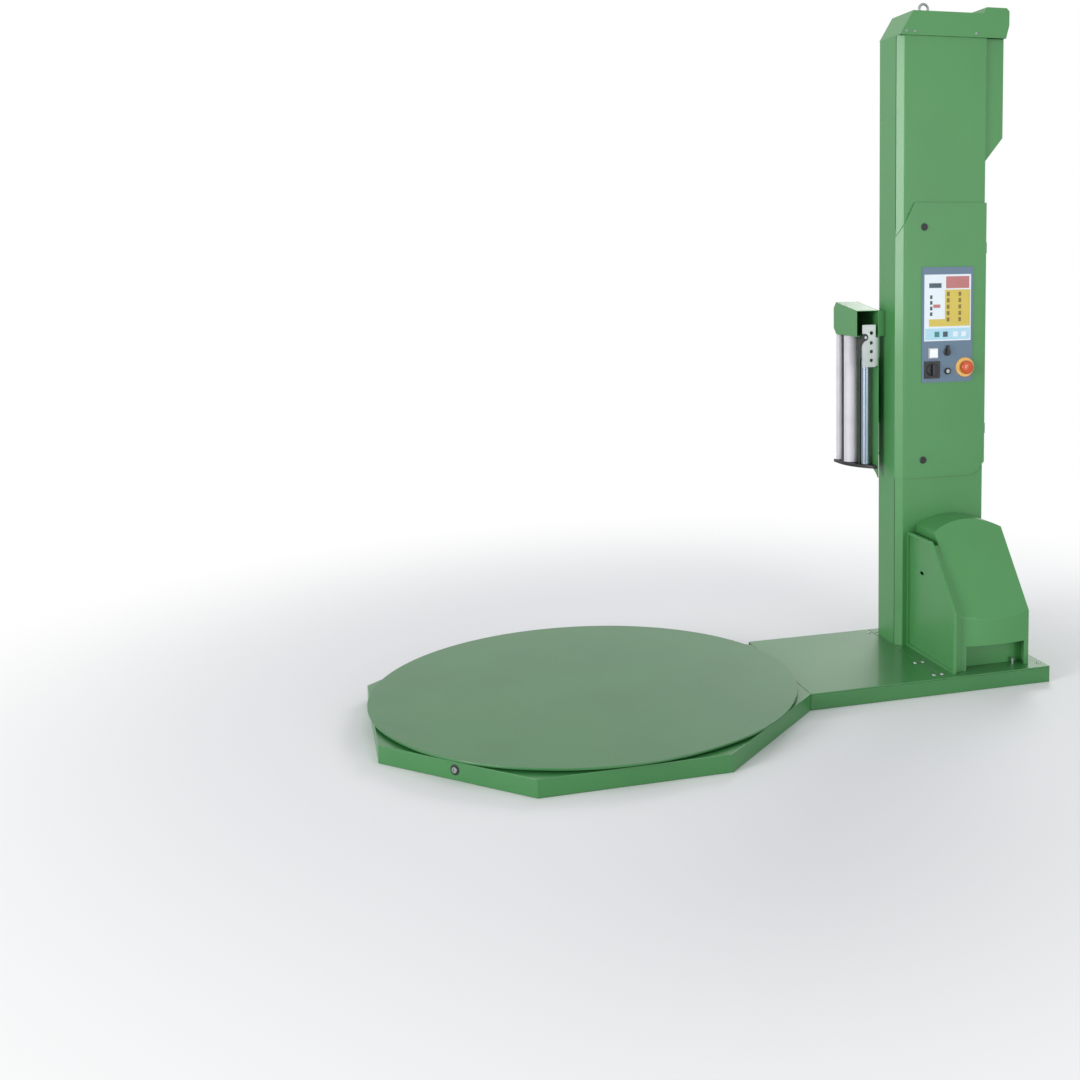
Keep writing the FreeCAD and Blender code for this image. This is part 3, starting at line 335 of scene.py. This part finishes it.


# Painted shade: the disc's green is darker still, for a flat top lit less from above.
disc_paint = finish_of("disc_paint", paint_skin, "31703a", "2b6634", 0.7, 0.45, 0.12, 0.12,
                       coat=0.2, coat_roughness=0.10)
low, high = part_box("turntable_disc")
disc_radius = (high.x - low.x) / 2
rim_ease = 0.0022
disc = turned(eased(disc_radius, low.z, high.z, rim_ease), (0, 0, 0), steps=192)
fit_piece("turntable_disc_plate", disc, "turntable", disc_paint, ["turntable_disc"])


# Table drive and support: a gearmotor and its chain to the hub, the post that the hub turns on,
# and six nylon wheels in steel brackets under the table. Most of it is hidden.
def carry(material, *nodes):
    """Gives the frame's own pieces their finish."""
    for node in nodes:
        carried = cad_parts[node].data
        carried.materials.clear()
        carried.materials.append(material)


brushed_skin = skin_group("brushed_skin", 9.0, 60, (1, 1, 14))
moulded_skin = skin_group("moulded_skin", 18.0, 900)
zinc = finish_of("zinc_steel", brushed_skin, "9da3a2", "868c8b", 0.6, 0.40, 0.15, 0.2, metallic=0.9)
dark_steel = finish_of("dark_steel", brushed_skin, "35383b", "4a4a48", 0.4, 0.45, 0.15, 0.2,
                       metallic=0.85)
chain_steel = finish_of("chain_steel", brushed_skin, "77746c", "5b5448", 0.7, 0.42, 0.2, 0.3,
                        metallic=1.0)
motor_paint = finish_of("motor_paint", paint_skin, "6b7074", "5c6165", 0.4, 0.42, 0.1, 0.25)
wheel_nylon = finish_of("wheel_nylon", moulded_skin, "dcd6c2", "c6bfa6", 0.5, 0.42, 0.1, 0.3)
carry(zinc, "pivot_post")
carry(dark_steel, "wheel_brackets", "turntable_hub")
carry(chain_steel, "table_sprocket", "drive_sprocket", "drive_chain")
carry(wheel_nylon, *["table_wheel_%d" % number for number in range(1, 7)])
fit_copy("table_gearmotor", "_made", 0.002, "machine", motor_paint)


# Column: a folded shell with a bevelled front left corner, and the lipped mast behind it.
# A dark green strip lies in the joint of the bevel and the left side, painted shade for the groove
# there: from the foot to the door, and from near the door's top to the column's top.
green_paint = finish_of("green_paint", paint_skin, "45884b", "3f7f46", 0.5, 0.42, 0.10, 0.10,
                        coat=0.18, coat_roughness=0.12)
groove_shade = finish_of("groove_shade", moulded_skin, "23402a", "1d3624", 0.3, 0.6, 0.1, 0.2)
black_plastic = finish_of("black_plastic", moulded_skin, "15181a", "1f2325", 0.4, 0.45, 0.1, 0.3)
shell_low, shell_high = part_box("column_shell")
bevel = 0.024
fit_copy("column_shell", "_sheet", 0.0012, "machine", green_paint,
         (shell_low.x + bevel, shell_low.y))
fit_copy("mast_profile", "_sheet", 0.0015, "machine", green_paint)


def block(shape, low, high, edge, segments=2):
    verts = bmesh.ops.create_cube(shape, size=1)["verts"]
    bmesh.ops.scale(shape, vec=Vector(high) - Vector(low), verts=verts)
    bmesh.ops.translate(shape, vec=(Vector(low) + Vector(high)) / 2, verts=verts)
    edges = list({e for v in verts for e in v.link_edges})
    if edge:
        rounded(shape, edges, edge, segments)


# The strip is painted shade: a dark sheet set where the groove at the bevel's joint lies in shadow.
strip_proud, strip_sunk = 0.0006, 0.001
strip_front, strip_back = 0.001, 0.0045
strip_door_gap, strip_door_lap = 0.002, 0.10
door_low, door_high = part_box("cabinet_door")
corner_y = shell_low.y + bevel
strip = bmesh.new()
for low_z, high_z in ((shell_low.z, door_low.z - strip_door_gap),
                      (door_high.z - strip_door_lap, shell_high.z)):
    block(strip, (shell_low.x - strip_proud, corner_y + strip_front, low_z),
          (shell_low.x + strip_sunk, corner_y + strip_back, high_z), 0)
fit_piece("column_groove_shade", strip, "machine", groove_shade)


# Lift: a gearmotor near the column's top, its chain along the mast, and the trolley on four
# nylon wheels that carries the film carriage.
carry(chain_steel, "lift_drive_sprocket", "lift_idler_sprocket", "lift_chain")
carry(wheel_nylon, "trolley_wheels_upper", "trolley_wheels_lower")
fit_copy("lift_gearmotor", "_made", 0.003, "machine", motor_paint)
fit_copy("trolley", "_made", 0.0015, "carriage", dark_steel)


# Cap and lift motor cover: folded sheet on the column's top and upper right side.
# The cap's left end slopes and its right end is raised over the motor.
for node, edge in (("column_cap", 0.0014), ("lift_motor_cover", 0.0012)):
    fit_copy(node, "_sheet", edge, "machine", green_paint)


# Lifting eye: forged ring on a round collar, screwed into the mast's top through the cap.
low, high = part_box("lifting_eye")
eye_x, eye_y = (low.x + high.x) / 2, (low.y + high.y) / 2
ring_outer = (high.x - low.x) / 2
ring_wire = ring_outer * 0.215
ring_z = high.z - ring_outer
collar_radius, collar_top_radius = 0.015, 0.011
collar_side, collar_height = 0.003, 0.006
eye = bmesh.new()
start = bmesh.ops.create_circle(eye, radius=ring_wire, segments=16)["verts"]
bmesh.ops.translate(eye, vec=(ring_outer - ring_wire, 0, 0), verts=start)
bmesh.ops.spin(eye, geom=eye.verts[:] + eye.edges[:], cent=(0, 0, 0), axis=(0, 1, 0), angle=2 * pi,
               steps=48, use_merge=True)
bmesh.ops.remove_doubles(eye, verts=eye.verts, dist=1e-6)
bmesh.ops.recalc_face_normals(eye, faces=eye.faces)
bmesh.ops.translate(eye, vec=(eye_x, eye_y, ring_z), verts=eye.verts)
fit_piece("lifting_eye_ring", eye, "machine", zinc, ["lifting_eye"])
collar = turned([(0, low.z), (collar_radius, low.z), (collar_radius, low.z + collar_side),
                 (collar_top_radius, low.z + collar_height), (0, low.z + collar_height)],
                (eye_x, eye_y, 0), steps=32)
fit_piece("lifting_eye_collar", collar, "machine", zinc)


# Fasteners: button-head screws with a round hole in the head, on the floor plates and the cap.
# A screw whose box is low stands upright on a plate; the cap's screws point forward.
def lumps(node):
    """The box of each separate solid in a frame node."""
    shape = bmesh.new()
    shape.from_mesh(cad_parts[node].data)
    bmesh.ops.remove_doubles(shape, verts=shape.verts, dist=1e-5)
    left = set(shape.verts)
    boxes = []
    while left:
        reached = {left.pop()}
        front = list(reached)
        while front:
            for edge in front.pop().link_edges:
                for vert in edge.verts:
                    if vert in left:
                        left.discard(vert)
                        reached.add(vert)
                        front.append(vert)
        spots = [v.co for v in reached]
        boxes.append((Vector([min(s[i] for s in spots) for i in range(3)]),
                      Vector([max(s[i] for s in spots) for i in range(3)])))
    shape.free()
    return sorted(boxes, key=lambda pair: tuple(round(c, 4) for c in pair[0]))


def socket_screw(radius, height, centre, axis):
    hole_radius, hole_floor = radius * 0.45, height * 0.45
    return turned([(0, hole_floor), (hole_radius, hole_floor), (hole_radius, height),
                   (radius * 0.62, height), (radius * 0.88, height * 0.72), (radius, height * 0.25),
                   (radius, 0), (0, 0)], centre, axis, 24)


def joined(shapes):
    """One shape made of several."""
    whole = bmesh.new()
    for shape in shapes:
        made = bpy.data.meshes.new("joined")
        shape.to_mesh(made)
        shape.free()
        whole.from_mesh(made)
        bpy.data.meshes.remove(made)
    return whole


screws = []
for low, high in lumps("bolts"):
    size = high - low
    screw_x = (low.x + high.x) / 2
    if size.z < size.x * 0.9:
        seat = (screw_x, (low.y + high.y) / 2, low.z)
        screws.append(socket_screw(size.x / 2, size.z, seat, "Z"))
    else:
        seat = (screw_x, high.y, (low.z + high.z) / 2)
        screws.append(socket_screw(size.x / 2, size.y, seat, "-Y"))
fit_piece("socket_screws", joined(screws), "machine", zinc, ["bolts"])


# Levelling screw in the base's front left side: a bright head on a dark round disc, painted shade for
# the recess round it.
pan_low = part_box("base_pan")[0]
level_z = 0.034
face_out = Matrix.Translation((pan_low.x, 0, level_z)) @ Matrix.Rotation(-pi / 2, 4, "Z")
corner_turn = Matrix.Rotation(pi / 4, 4, "Z")
for name, slot, finish, outline in (
        # The dark disc is painted shade standing in for the round recess.
        ("levelling_recess_shade", "black_plastic", black_plastic,
         [(0, 0), (0.017, 0), (0.017, 0.0006), (0.0155, 0.0010), (0, 0.0010)]),
        ("levelling_screw", "zinc_steel", zinc,
         [(0, 0.0008), (0.010, 0.0008), (0.010, 0.0035), (0.0085, 0.0050), (0.0050, 0.0050),
          (0.0045, 0.0025), (0, 0.0025)])):
    made = turned(outline, (0, 0, 0), "-Y", 32)
    bmesh.ops.transform(made, matrix=corner_turn @ face_out, verts=made.verts)
    fit_piece(name, made, "machine", finish)


# Drive housing: an arched hood over the gearmotor, its left side plate with a narrow rim, and
# a panel with two studs in the recess at its foot.
for node, edge in (("drive_hood", 0.0012), ("drive_side_plate", 0.0016),
                   ("drive_inner_panel", 0.001)):
    fit_copy(node, "_sheet", edge, "machine", green_paint)
panel_low, panel_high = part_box("drive_inner_panel")
stud_radius, stud_tip_radius = 0.0055, 0.0042
stud_side, stud_height = 0.020, 0.0215
stud_forward = 0.016
left_inset, right_inset = 0.034, 0.046
stud_outline = [(0, 0), (stud_radius, 0), (stud_radius, stud_side), (stud_tip_radius, stud_height),
                (0, stud_height)]
studs = [turned(stud_outline, (across, panel_low.y - stud_forward, panel_low.z), "Z", 20)
         for across in (panel_low.x + left_inset, panel_high.x - right_inset)]
fit_piece("recess_studs", joined(studs), "machine", zinc)


# Cabinet door: a shallow folded tray hung on two hinges, over the plate of electrical units.
# Its fold follows the column's bevel.
unit_plastic = finish_of("unit_plastic", moulded_skin, "b9bcbc", "a9adae", 0.4, 0.45, 0.08, 0.3)
door_stand_off = 0.006
fit_copy("cabinet_door", "_sheet", 0.0009, "door", green_paint,
         (shell_low.x + bevel - door_stand_off * tan(pi / 8), shell_low.y - door_stand_off))
carry(green_paint, "door_hinges")
carry(unit_plastic, "electrical_plate")


# Door locks: black turned heads, dished round a raised centre, each with a short neck and a
# flat tongue behind the door that points towards the other lock.
lock_depth = 0.003
neck_radius, neck_depth = 0.008, 0.013
tongue_width, tongue_sheet, tongue_reach = 0.016, 0.003, 0.036
for place in ("upper", "lower"):
    low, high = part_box("door_lock_" + place)
    lock_x = (low.x + high.x) / 2
    lock_radius = (high.x - low.x) / 2
    lock_z = high.z - lock_radius if place == "upper" else low.z + lock_radius
    head = turned([(0, -neck_depth), (neck_radius, -neck_depth), (neck_radius, 0), (lock_radius, 0),
                   (lock_radius, lock_depth * 0.5), (lock_radius * 0.9, lock_depth),
                   (lock_radius * 0.68, lock_depth), (lock_radius * 0.6, lock_depth * 0.25),
                   (lock_radius * 0.28, lock_depth * 0.25), (lock_radius * 0.22, lock_depth * 0.8),
                   (0, lock_depth * 0.8)], (lock_x, low.y + lock_depth, lock_z), "-Y", 40)
    tongue = bmesh.ops.create_cube(head, size=1)["verts"]
    bmesh.ops.scale(head, vec=(tongue_width, tongue_sheet, tongue_reach), verts=tongue)
    lift = tongue_reach / 2 if place == "lower" else -tongue_reach / 2
    tongue_spot = (lock_x, high.y - tongue_sheet / 2, lock_z + lift)
    bmesh.ops.translate(head, vec=tongue_spot, verts=tongue)
    fit_piece("door_lock_" + place + "_turned", head, "door_lock_" + place,
              black_plastic, ["door_lock_" + place])


# Control panel: a grey-blue plate on the door, with the main switch's black square plate.
panel_paint = finish_of("panel_paint", paint_skin, "5b7489", "546b7e", 0.4, 0.40, 0.08, 0.12)
fit_copy("control_panel", "_made", 0.001, "door", panel_paint)
fit_copy("main_switch_plate", "_made", 0.0012, "door", black_plastic)


# Stop button: red mushroom head on a collar, over a raised yellow ring on the panel.
red_plastic = finish_of("red_plastic", moulded_skin, "c8501e", "bd4618", 0.4, 0.28, 0.05, 0.1,
                        coat=0.3)
yellow_plastic = finish_of("yellow_plastic", moulded_skin, "e9b766", "e0ab58", 0.4, 0.35, 0.05, 0.1)
low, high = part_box("stop_button")
stop_x, stop_z = (low.x + high.x) / 2, (low.z + high.z) / 2
stop_radius = (high.x - low.x) / 2
stop_depth = 0.018
stem_radius, stem_depth = 0.009, 0.032
stop = turned([(0, -stem_depth), (stem_radius, -stem_depth), (stem_radius, 0), (stop_radius * 0.86, 0),
               (stop_radius, stop_depth * 0.2), (stop_radius, stop_depth * 0.42),
               (stop_radius * 0.95, stop_depth * 0.68), (stop_radius * 0.8, stop_depth * 0.88),
               (stop_radius * 0.5, stop_depth * 0.98), (0, stop_depth)],
              (stop_x, low.y + stop_depth, stop_z), "-Y", 48)
fit_piece("stop_button_head", stop, "stop_button", red_plastic, ["stop_button"])
low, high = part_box("stop_ring")
ring_radius = (high.x - low.x) / 2
ring_depth = high.y - low.y
ring_bore = 0.010
ring = turned([(ring_bore, 0), (ring_radius, 0), (ring_radius, ring_depth * 0.5),
               (ring_radius * 0.94, ring_depth), (ring_radius * 0.62, ring_depth),
               (ring_radius * 0.56, ring_depth * 0.6), (ring_bore, ring_depth * 0.6),
               (ring_bore, 0)],
              (stop_x, high.y, stop_z), "-Y", 56)
fit_piece("stop_ring_turned", ring, "door", yellow_plastic, ["stop_ring"])


# Small panel controls: a square white start button in a grey frame, a black selector, the main
# switch's finger grip and the key switch with its bright barrel.
def knob_outline(stem_radius, stem_depth, gap, radius, side, top_radius, depth):
    """A stem into the panel and, past a gap, a round head with a sloped rim."""
    return [(0, -stem_depth), (stem_radius, -stem_depth), (stem_radius, gap), (radius, gap),
            (radius, side), (top_radius, depth), (0, depth)]


white_plastic = finish_of("white_plastic", moulded_skin, "eef1f2", "e2e6e6", 0.4, 0.3, 0.05, 0.2)
panel_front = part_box("control_panel")[0].y
low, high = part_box("start_button")
middle_x, middle_z = (low.x + high.x) / 2, (low.z + high.z) / 2
start_depth, start_ease = 0.006, 0.0018
start_stem_radius, start_stem_depth, start_stem_top = 0.009, 0.020, 0.005
bezel_lip, bezel_depth, bezel_ease = 0.003, 0.003, 0.001
start = turned([(0, -start_stem_depth), (start_stem_radius, -start_stem_depth),
                (start_stem_radius, 0), (0, 0)],
               (middle_x, low.y + start_stem_top, middle_z), "-Y", 24)
block(start, low, (high.x, low.y + start_depth, high.z), start_ease, 3)
fit_piece("start_button_cap", start, "start_button", white_plastic,
          ["start_button"])
bezel = bmesh.new()
block(bezel, (low.x - bezel_lip, panel_front - bezel_depth, low.z - bezel_lip),
      (high.x + bezel_lip, panel_front, high.z + bezel_lip), bezel_ease)
fit_piece("start_button_bezel", bezel, "door", unit_plastic)

low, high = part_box("selector_lever")
middle_x = (low.x + high.x) / 2
head_radius = 0.015
turn_z = low.z + head_radius
selector_head = knob_outline(stem_radius=0.007, stem_depth=0.014, gap=0.0003, radius=head_radius,
                             side=0.0035, top_radius=0.0135, depth=0.005)
selector = turned(selector_head, (middle_x, panel_front, turn_z), "-Y", 32)
grip_half, grip_tail, grip_sunk, grip_ease = 0.005, 0.010, 0.004, 0.002
block(selector, (middle_x - grip_half, low.y, turn_z - grip_tail),
      (middle_x + grip_half, panel_front - grip_sunk, high.z), grip_ease, 3)
fit_piece("selector_lever_grip", selector, "selector_lever", black_plastic,
          ["selector_lever"])

low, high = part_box("main_switch")
middle_x, middle_z = (low.x + high.x) / 2, (low.z + high.z) / 2
switch_head = knob_outline(stem_radius=0.007, stem_depth=0.011, gap=0.0043, radius=0.024,
                           side=0.008, top_radius=0.021, depth=0.0103)
switch = turned(switch_head, (middle_x, panel_front, middle_z), "-Y", 40)
grip_half, grip_reach, grip_sunk, grip_ease = 0.007, 0.023, 0.009, 0.003
block(switch, (middle_x - grip_half, low.y, middle_z - grip_reach),
      (middle_x + grip_half, panel_front - grip_sunk, middle_z + grip_reach), grip_ease, 3)
fit_piece("main_switch_grip", switch, "main_switch", black_plastic, ["main_switch"])

low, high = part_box("key_switch")
middle_x, middle_z = (low.x + high.x) / 2, (low.z + high.z) / 2
key_depth, well_floor, well_radius = 0.0063, 0.0045, 0.008
barrel_radius, barrel_side, barrel_top_radius = 0.0074, 0.0058, 0.0068
key_outline = knob_outline(stem_radius=0.007, stem_depth=0.010, gap=0.0003, radius=0.013,
                           side=well_floor, top_radius=0.0115, depth=key_depth)
key_outline[-1:] = [(well_radius, key_depth), (well_radius, well_floor), (0, well_floor)]
key_body = turned(key_outline, (middle_x, panel_front, middle_z), "-Y", 36)
fit_piece("key_switch_ring", key_body, "key_switch", black_plastic, ["key_switch"])
barrel = turned([(0, well_floor), (barrel_radius, well_floor), (barrel_radius, barrel_side),
                 (barrel_top_radius, key_depth), (0, key_depth)],
                (middle_x, panel_front, middle_z), "-Y", 30)
fit_piece("key_switch_barrel", barrel, "key_switch", zinc)


# Keypad: a thin film with coloured fields and printed marks, raised soft keys and buttons, and a
# dark display. Places on it are given as shares of its width and height.
low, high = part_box("keypad")
pad_width, pad_height = high.x - low.x, high.z - low.z


def pad_spot(across, up):
    return low.x + pad_width * across, low.z + pad_height * up


field_rise, mark_rise, key_rise, button_rise = 0.0012, 0.0016, 0.0022, 0.0026
pad_inks = {
    "pad_white": finish_of("pad_white", moulded_skin, "dde6ec", "cfdbe2", 0.3, 0.32, 0.05, 0.1),
    "pad_cyan": finish_of("pad_cyan", moulded_skin, "a9d3e4", "9ccbdf", 0.3, 0.32, 0.05, 0.1),
    "pad_yellow": finish_of("pad_yellow", moulded_skin, "cdb84c", "c4ab3c", 0.3, 0.32, 0.05, 0.1),
    "pad_red": finish_of("pad_red", moulded_skin, "b5706e", "aa6262", 0.3, 0.32, 0.05, 0.1),
    "pad_dark": finish_of("pad_dark", moulded_skin, "3d4f5c", "33444f", 0.3, 0.25, 0.05, 0.1),
    "pad_key": finish_of("pad_key", moulded_skin, "7b6b2a", "6b5c22", 0.3, 0.4, 0.05, 0.2),
    "pad_green": finish_of("pad_green", moulded_skin, "2f7f78", "27746e", 0.3, 0.35, 0.05, 0.2),
}


def pad_field(name, ink, left, bottom, right, top, raised, edge=0.0, stands_for=()):
    shape = bmesh.new()
    x0, z0 = pad_spot(left, bottom)
    x1, z1 = pad_spot(right, top)
    block(shape, (x0, high.y - raised, z0), (x1, high.y, z1), edge)
    fit_piece(name, shape, "door", pad_inks[ink], stands_for)


pad_field("keypad_sheet", "pad_white", 0, 0, 1, 1, 0.0010, 0.0004, ["keypad"])
pad_field("keypad_field_left", "pad_cyan", 0.02, 0.02, 0.98, 0.19, field_rise)
pad_field("keypad_field_right", "pad_yellow", 0.44, 0.22, 0.98, 0.77, field_rise)
pad_field("keypad_field_middle", "pad_yellow", 0.10, 0.22, 0.44, 0.33, field_rise)
pad_field("keypad_field_top", "pad_red", 0.46, 0.79, 0.96, 0.97, field_rise)
pad_field("keypad_display", "pad_dark", 0.10, 0.80, 0.36, 0.87, key_rise, 0.0006)
for row in range(5):
    foot = 0.29 + row * 0.096
    for column, ink in ((0.48, "pad_key"), (0.73, "pad_key"), (0.90, "pad_yellow")):
        pad_field("keypad_key_%d_%d" % (row, round(column * 100)), ink, column, foot, column + 0.055,
                  foot + 0.062, key_rise, 0.0006)
for row in range(4):
    foot = 0.38 + row * 0.085
    pad_field("keypad_mark_%d" % row, "pad_dark", 0.12, foot, 0.17, foot + 0.055, mark_rise)
pad_field("keypad_mark_wide", "pad_red", 0.19, 0.50, 0.34, 0.55, mark_rise)
for index, (across, ink) in enumerate(((0.22, "pad_green"), (0.40, "pad_dark"), (0.62, "pad_white"),
                                       (0.80, "pad_white"))):
    pad_field("keypad_button_%d" % index, ink, across, 0.06, across + 0.10, 0.14, button_rise, 0.0008)


# Film carriage: side plate, arm and ledge of folded sheet, the head box over the rollers, their
# dark base plate, two guard bars and the bored tension bracket with its curved lever.
black_paint = finish_of("black_paint", paint_skin, "17191a", "222525", 0.4, 0.38, 0.1, 0.2)
fit_copy("carriage_frame", "_sheet", 0.0014, "carriage", green_paint)
fit_copy("head_box", "_sheet", 0.0013, "carriage", green_paint)
fit_copy("roller_base_plate", "_made", 0.0015, "carriage", black_paint)
fit_copy("tension_bracket", "_made", 0.0006, "carriage", zinc)
fit_copy("tension_lever", "_made", 0.0015, "tension_lever", black_plastic)
carry(black_paint, "guard_bars")
carry(zinc, "roller_shafts")


# Film rollers: tubes on fixed shafts, their ends dished and a fine groove cut near each end.
# The first two have a pale rubber face; the third is bare aluminium.
sleeve_rubber = finish_of("sleeve_rubber", moulded_skin, "cfcbd2", "bdb8c0", 0.5, 0.42, 0.1, 0.25)
roller_metal = finish_of("roller_metal", brushed_skin, "8b97a5", "7a8694", 0.5, 0.32, 0.12, 0.2,
                         metallic=0.9)
bore = 0.00605
rim_ease, dish, groove = 0.001, 0.0015, 0.0012
cap, groove_width = 0.012, 0.002
for number, material, slot in ((1, sleeve_rubber, "roller_rubber"),
                               (2, sleeve_rubber, "roller_rubber"),
                               (3, roller_metal, "roller_metal")):
    low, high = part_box("roller_%d" % number)
    radius = (high.x - low.x) / 2
    groove_end = low.z + cap + groove_width
    outline = [(bore, low.z), (radius * 0.55, low.z), (radius * 0.62, low.z + dish),
               (radius * 0.86, low.z + dish), (radius * 0.9, low.z), (radius - rim_ease, low.z),
               (radius, low.z + rim_ease), (radius, low.z + cap), (radius - groove, low.z + cap),
               (radius - groove, groove_end), (radius, groove_end)]
    top = [(r, high.z + low.z - z) for r, z in reversed(outline)]
    centre = ((low.x + high.x) / 2, (low.y + high.y) / 2, 0)
    tube = turned(outline + top + [outline[0]], centre, steps=56)
    roller = "roller_%d" % number
    fit_piece(roller + "_tube", tube, roller, material, [roller])


# Film roll: clear stretch film wound on a card core, standing on a steel spindle. Its ends
# show the winding as shallow steps.
carry(zinc, "reel_spindle")
wound_film = finish_of("wound_film", brushed_skin, "d5dadd", "c2c9cd", 0.5, 0.22, 0.08, 0.2,
                       coat=0.5)
core_card = finish_of("core_card", moulded_skin, "a98c66", "9a7d58", 0.6, 0.8, 0.1, 0.6)
low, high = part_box("film_roll")
centre = ((low.x + high.x) / 2, (low.y + high.y) / 2, 0)
radius, core_radius, core_bore = (high.x - low.x) / 2, 0.038, 0.01605
core_proud, step_depth, rings = 0.005, 0.0009, 9
wound_low, wound_high = low.z + core_proud, high.z - core_proud
steps = [(core_radius + (radius - core_radius) * n / rings, step_depth * (n % 2))
         for n in range(rings + 1)]
lower = [(r, wound_low + dip) for r, dip in steps]
upper = [(r, wound_high - dip) for r, dip in reversed(steps)]
wound = turned(lower + upper + [lower[0]], centre, steps=64)
fit_piece("film_roll_wound", wound, "film_reel", wound_film, ["film_roll"])
core = turned([(core_bore, low.z), (core_radius, low.z), (core_radius, high.z), (core_bore, high.z),
               (core_bore, low.z)], centre, steps=48)
fit_piece("film_roll_core", core, "film_reel", core_card)
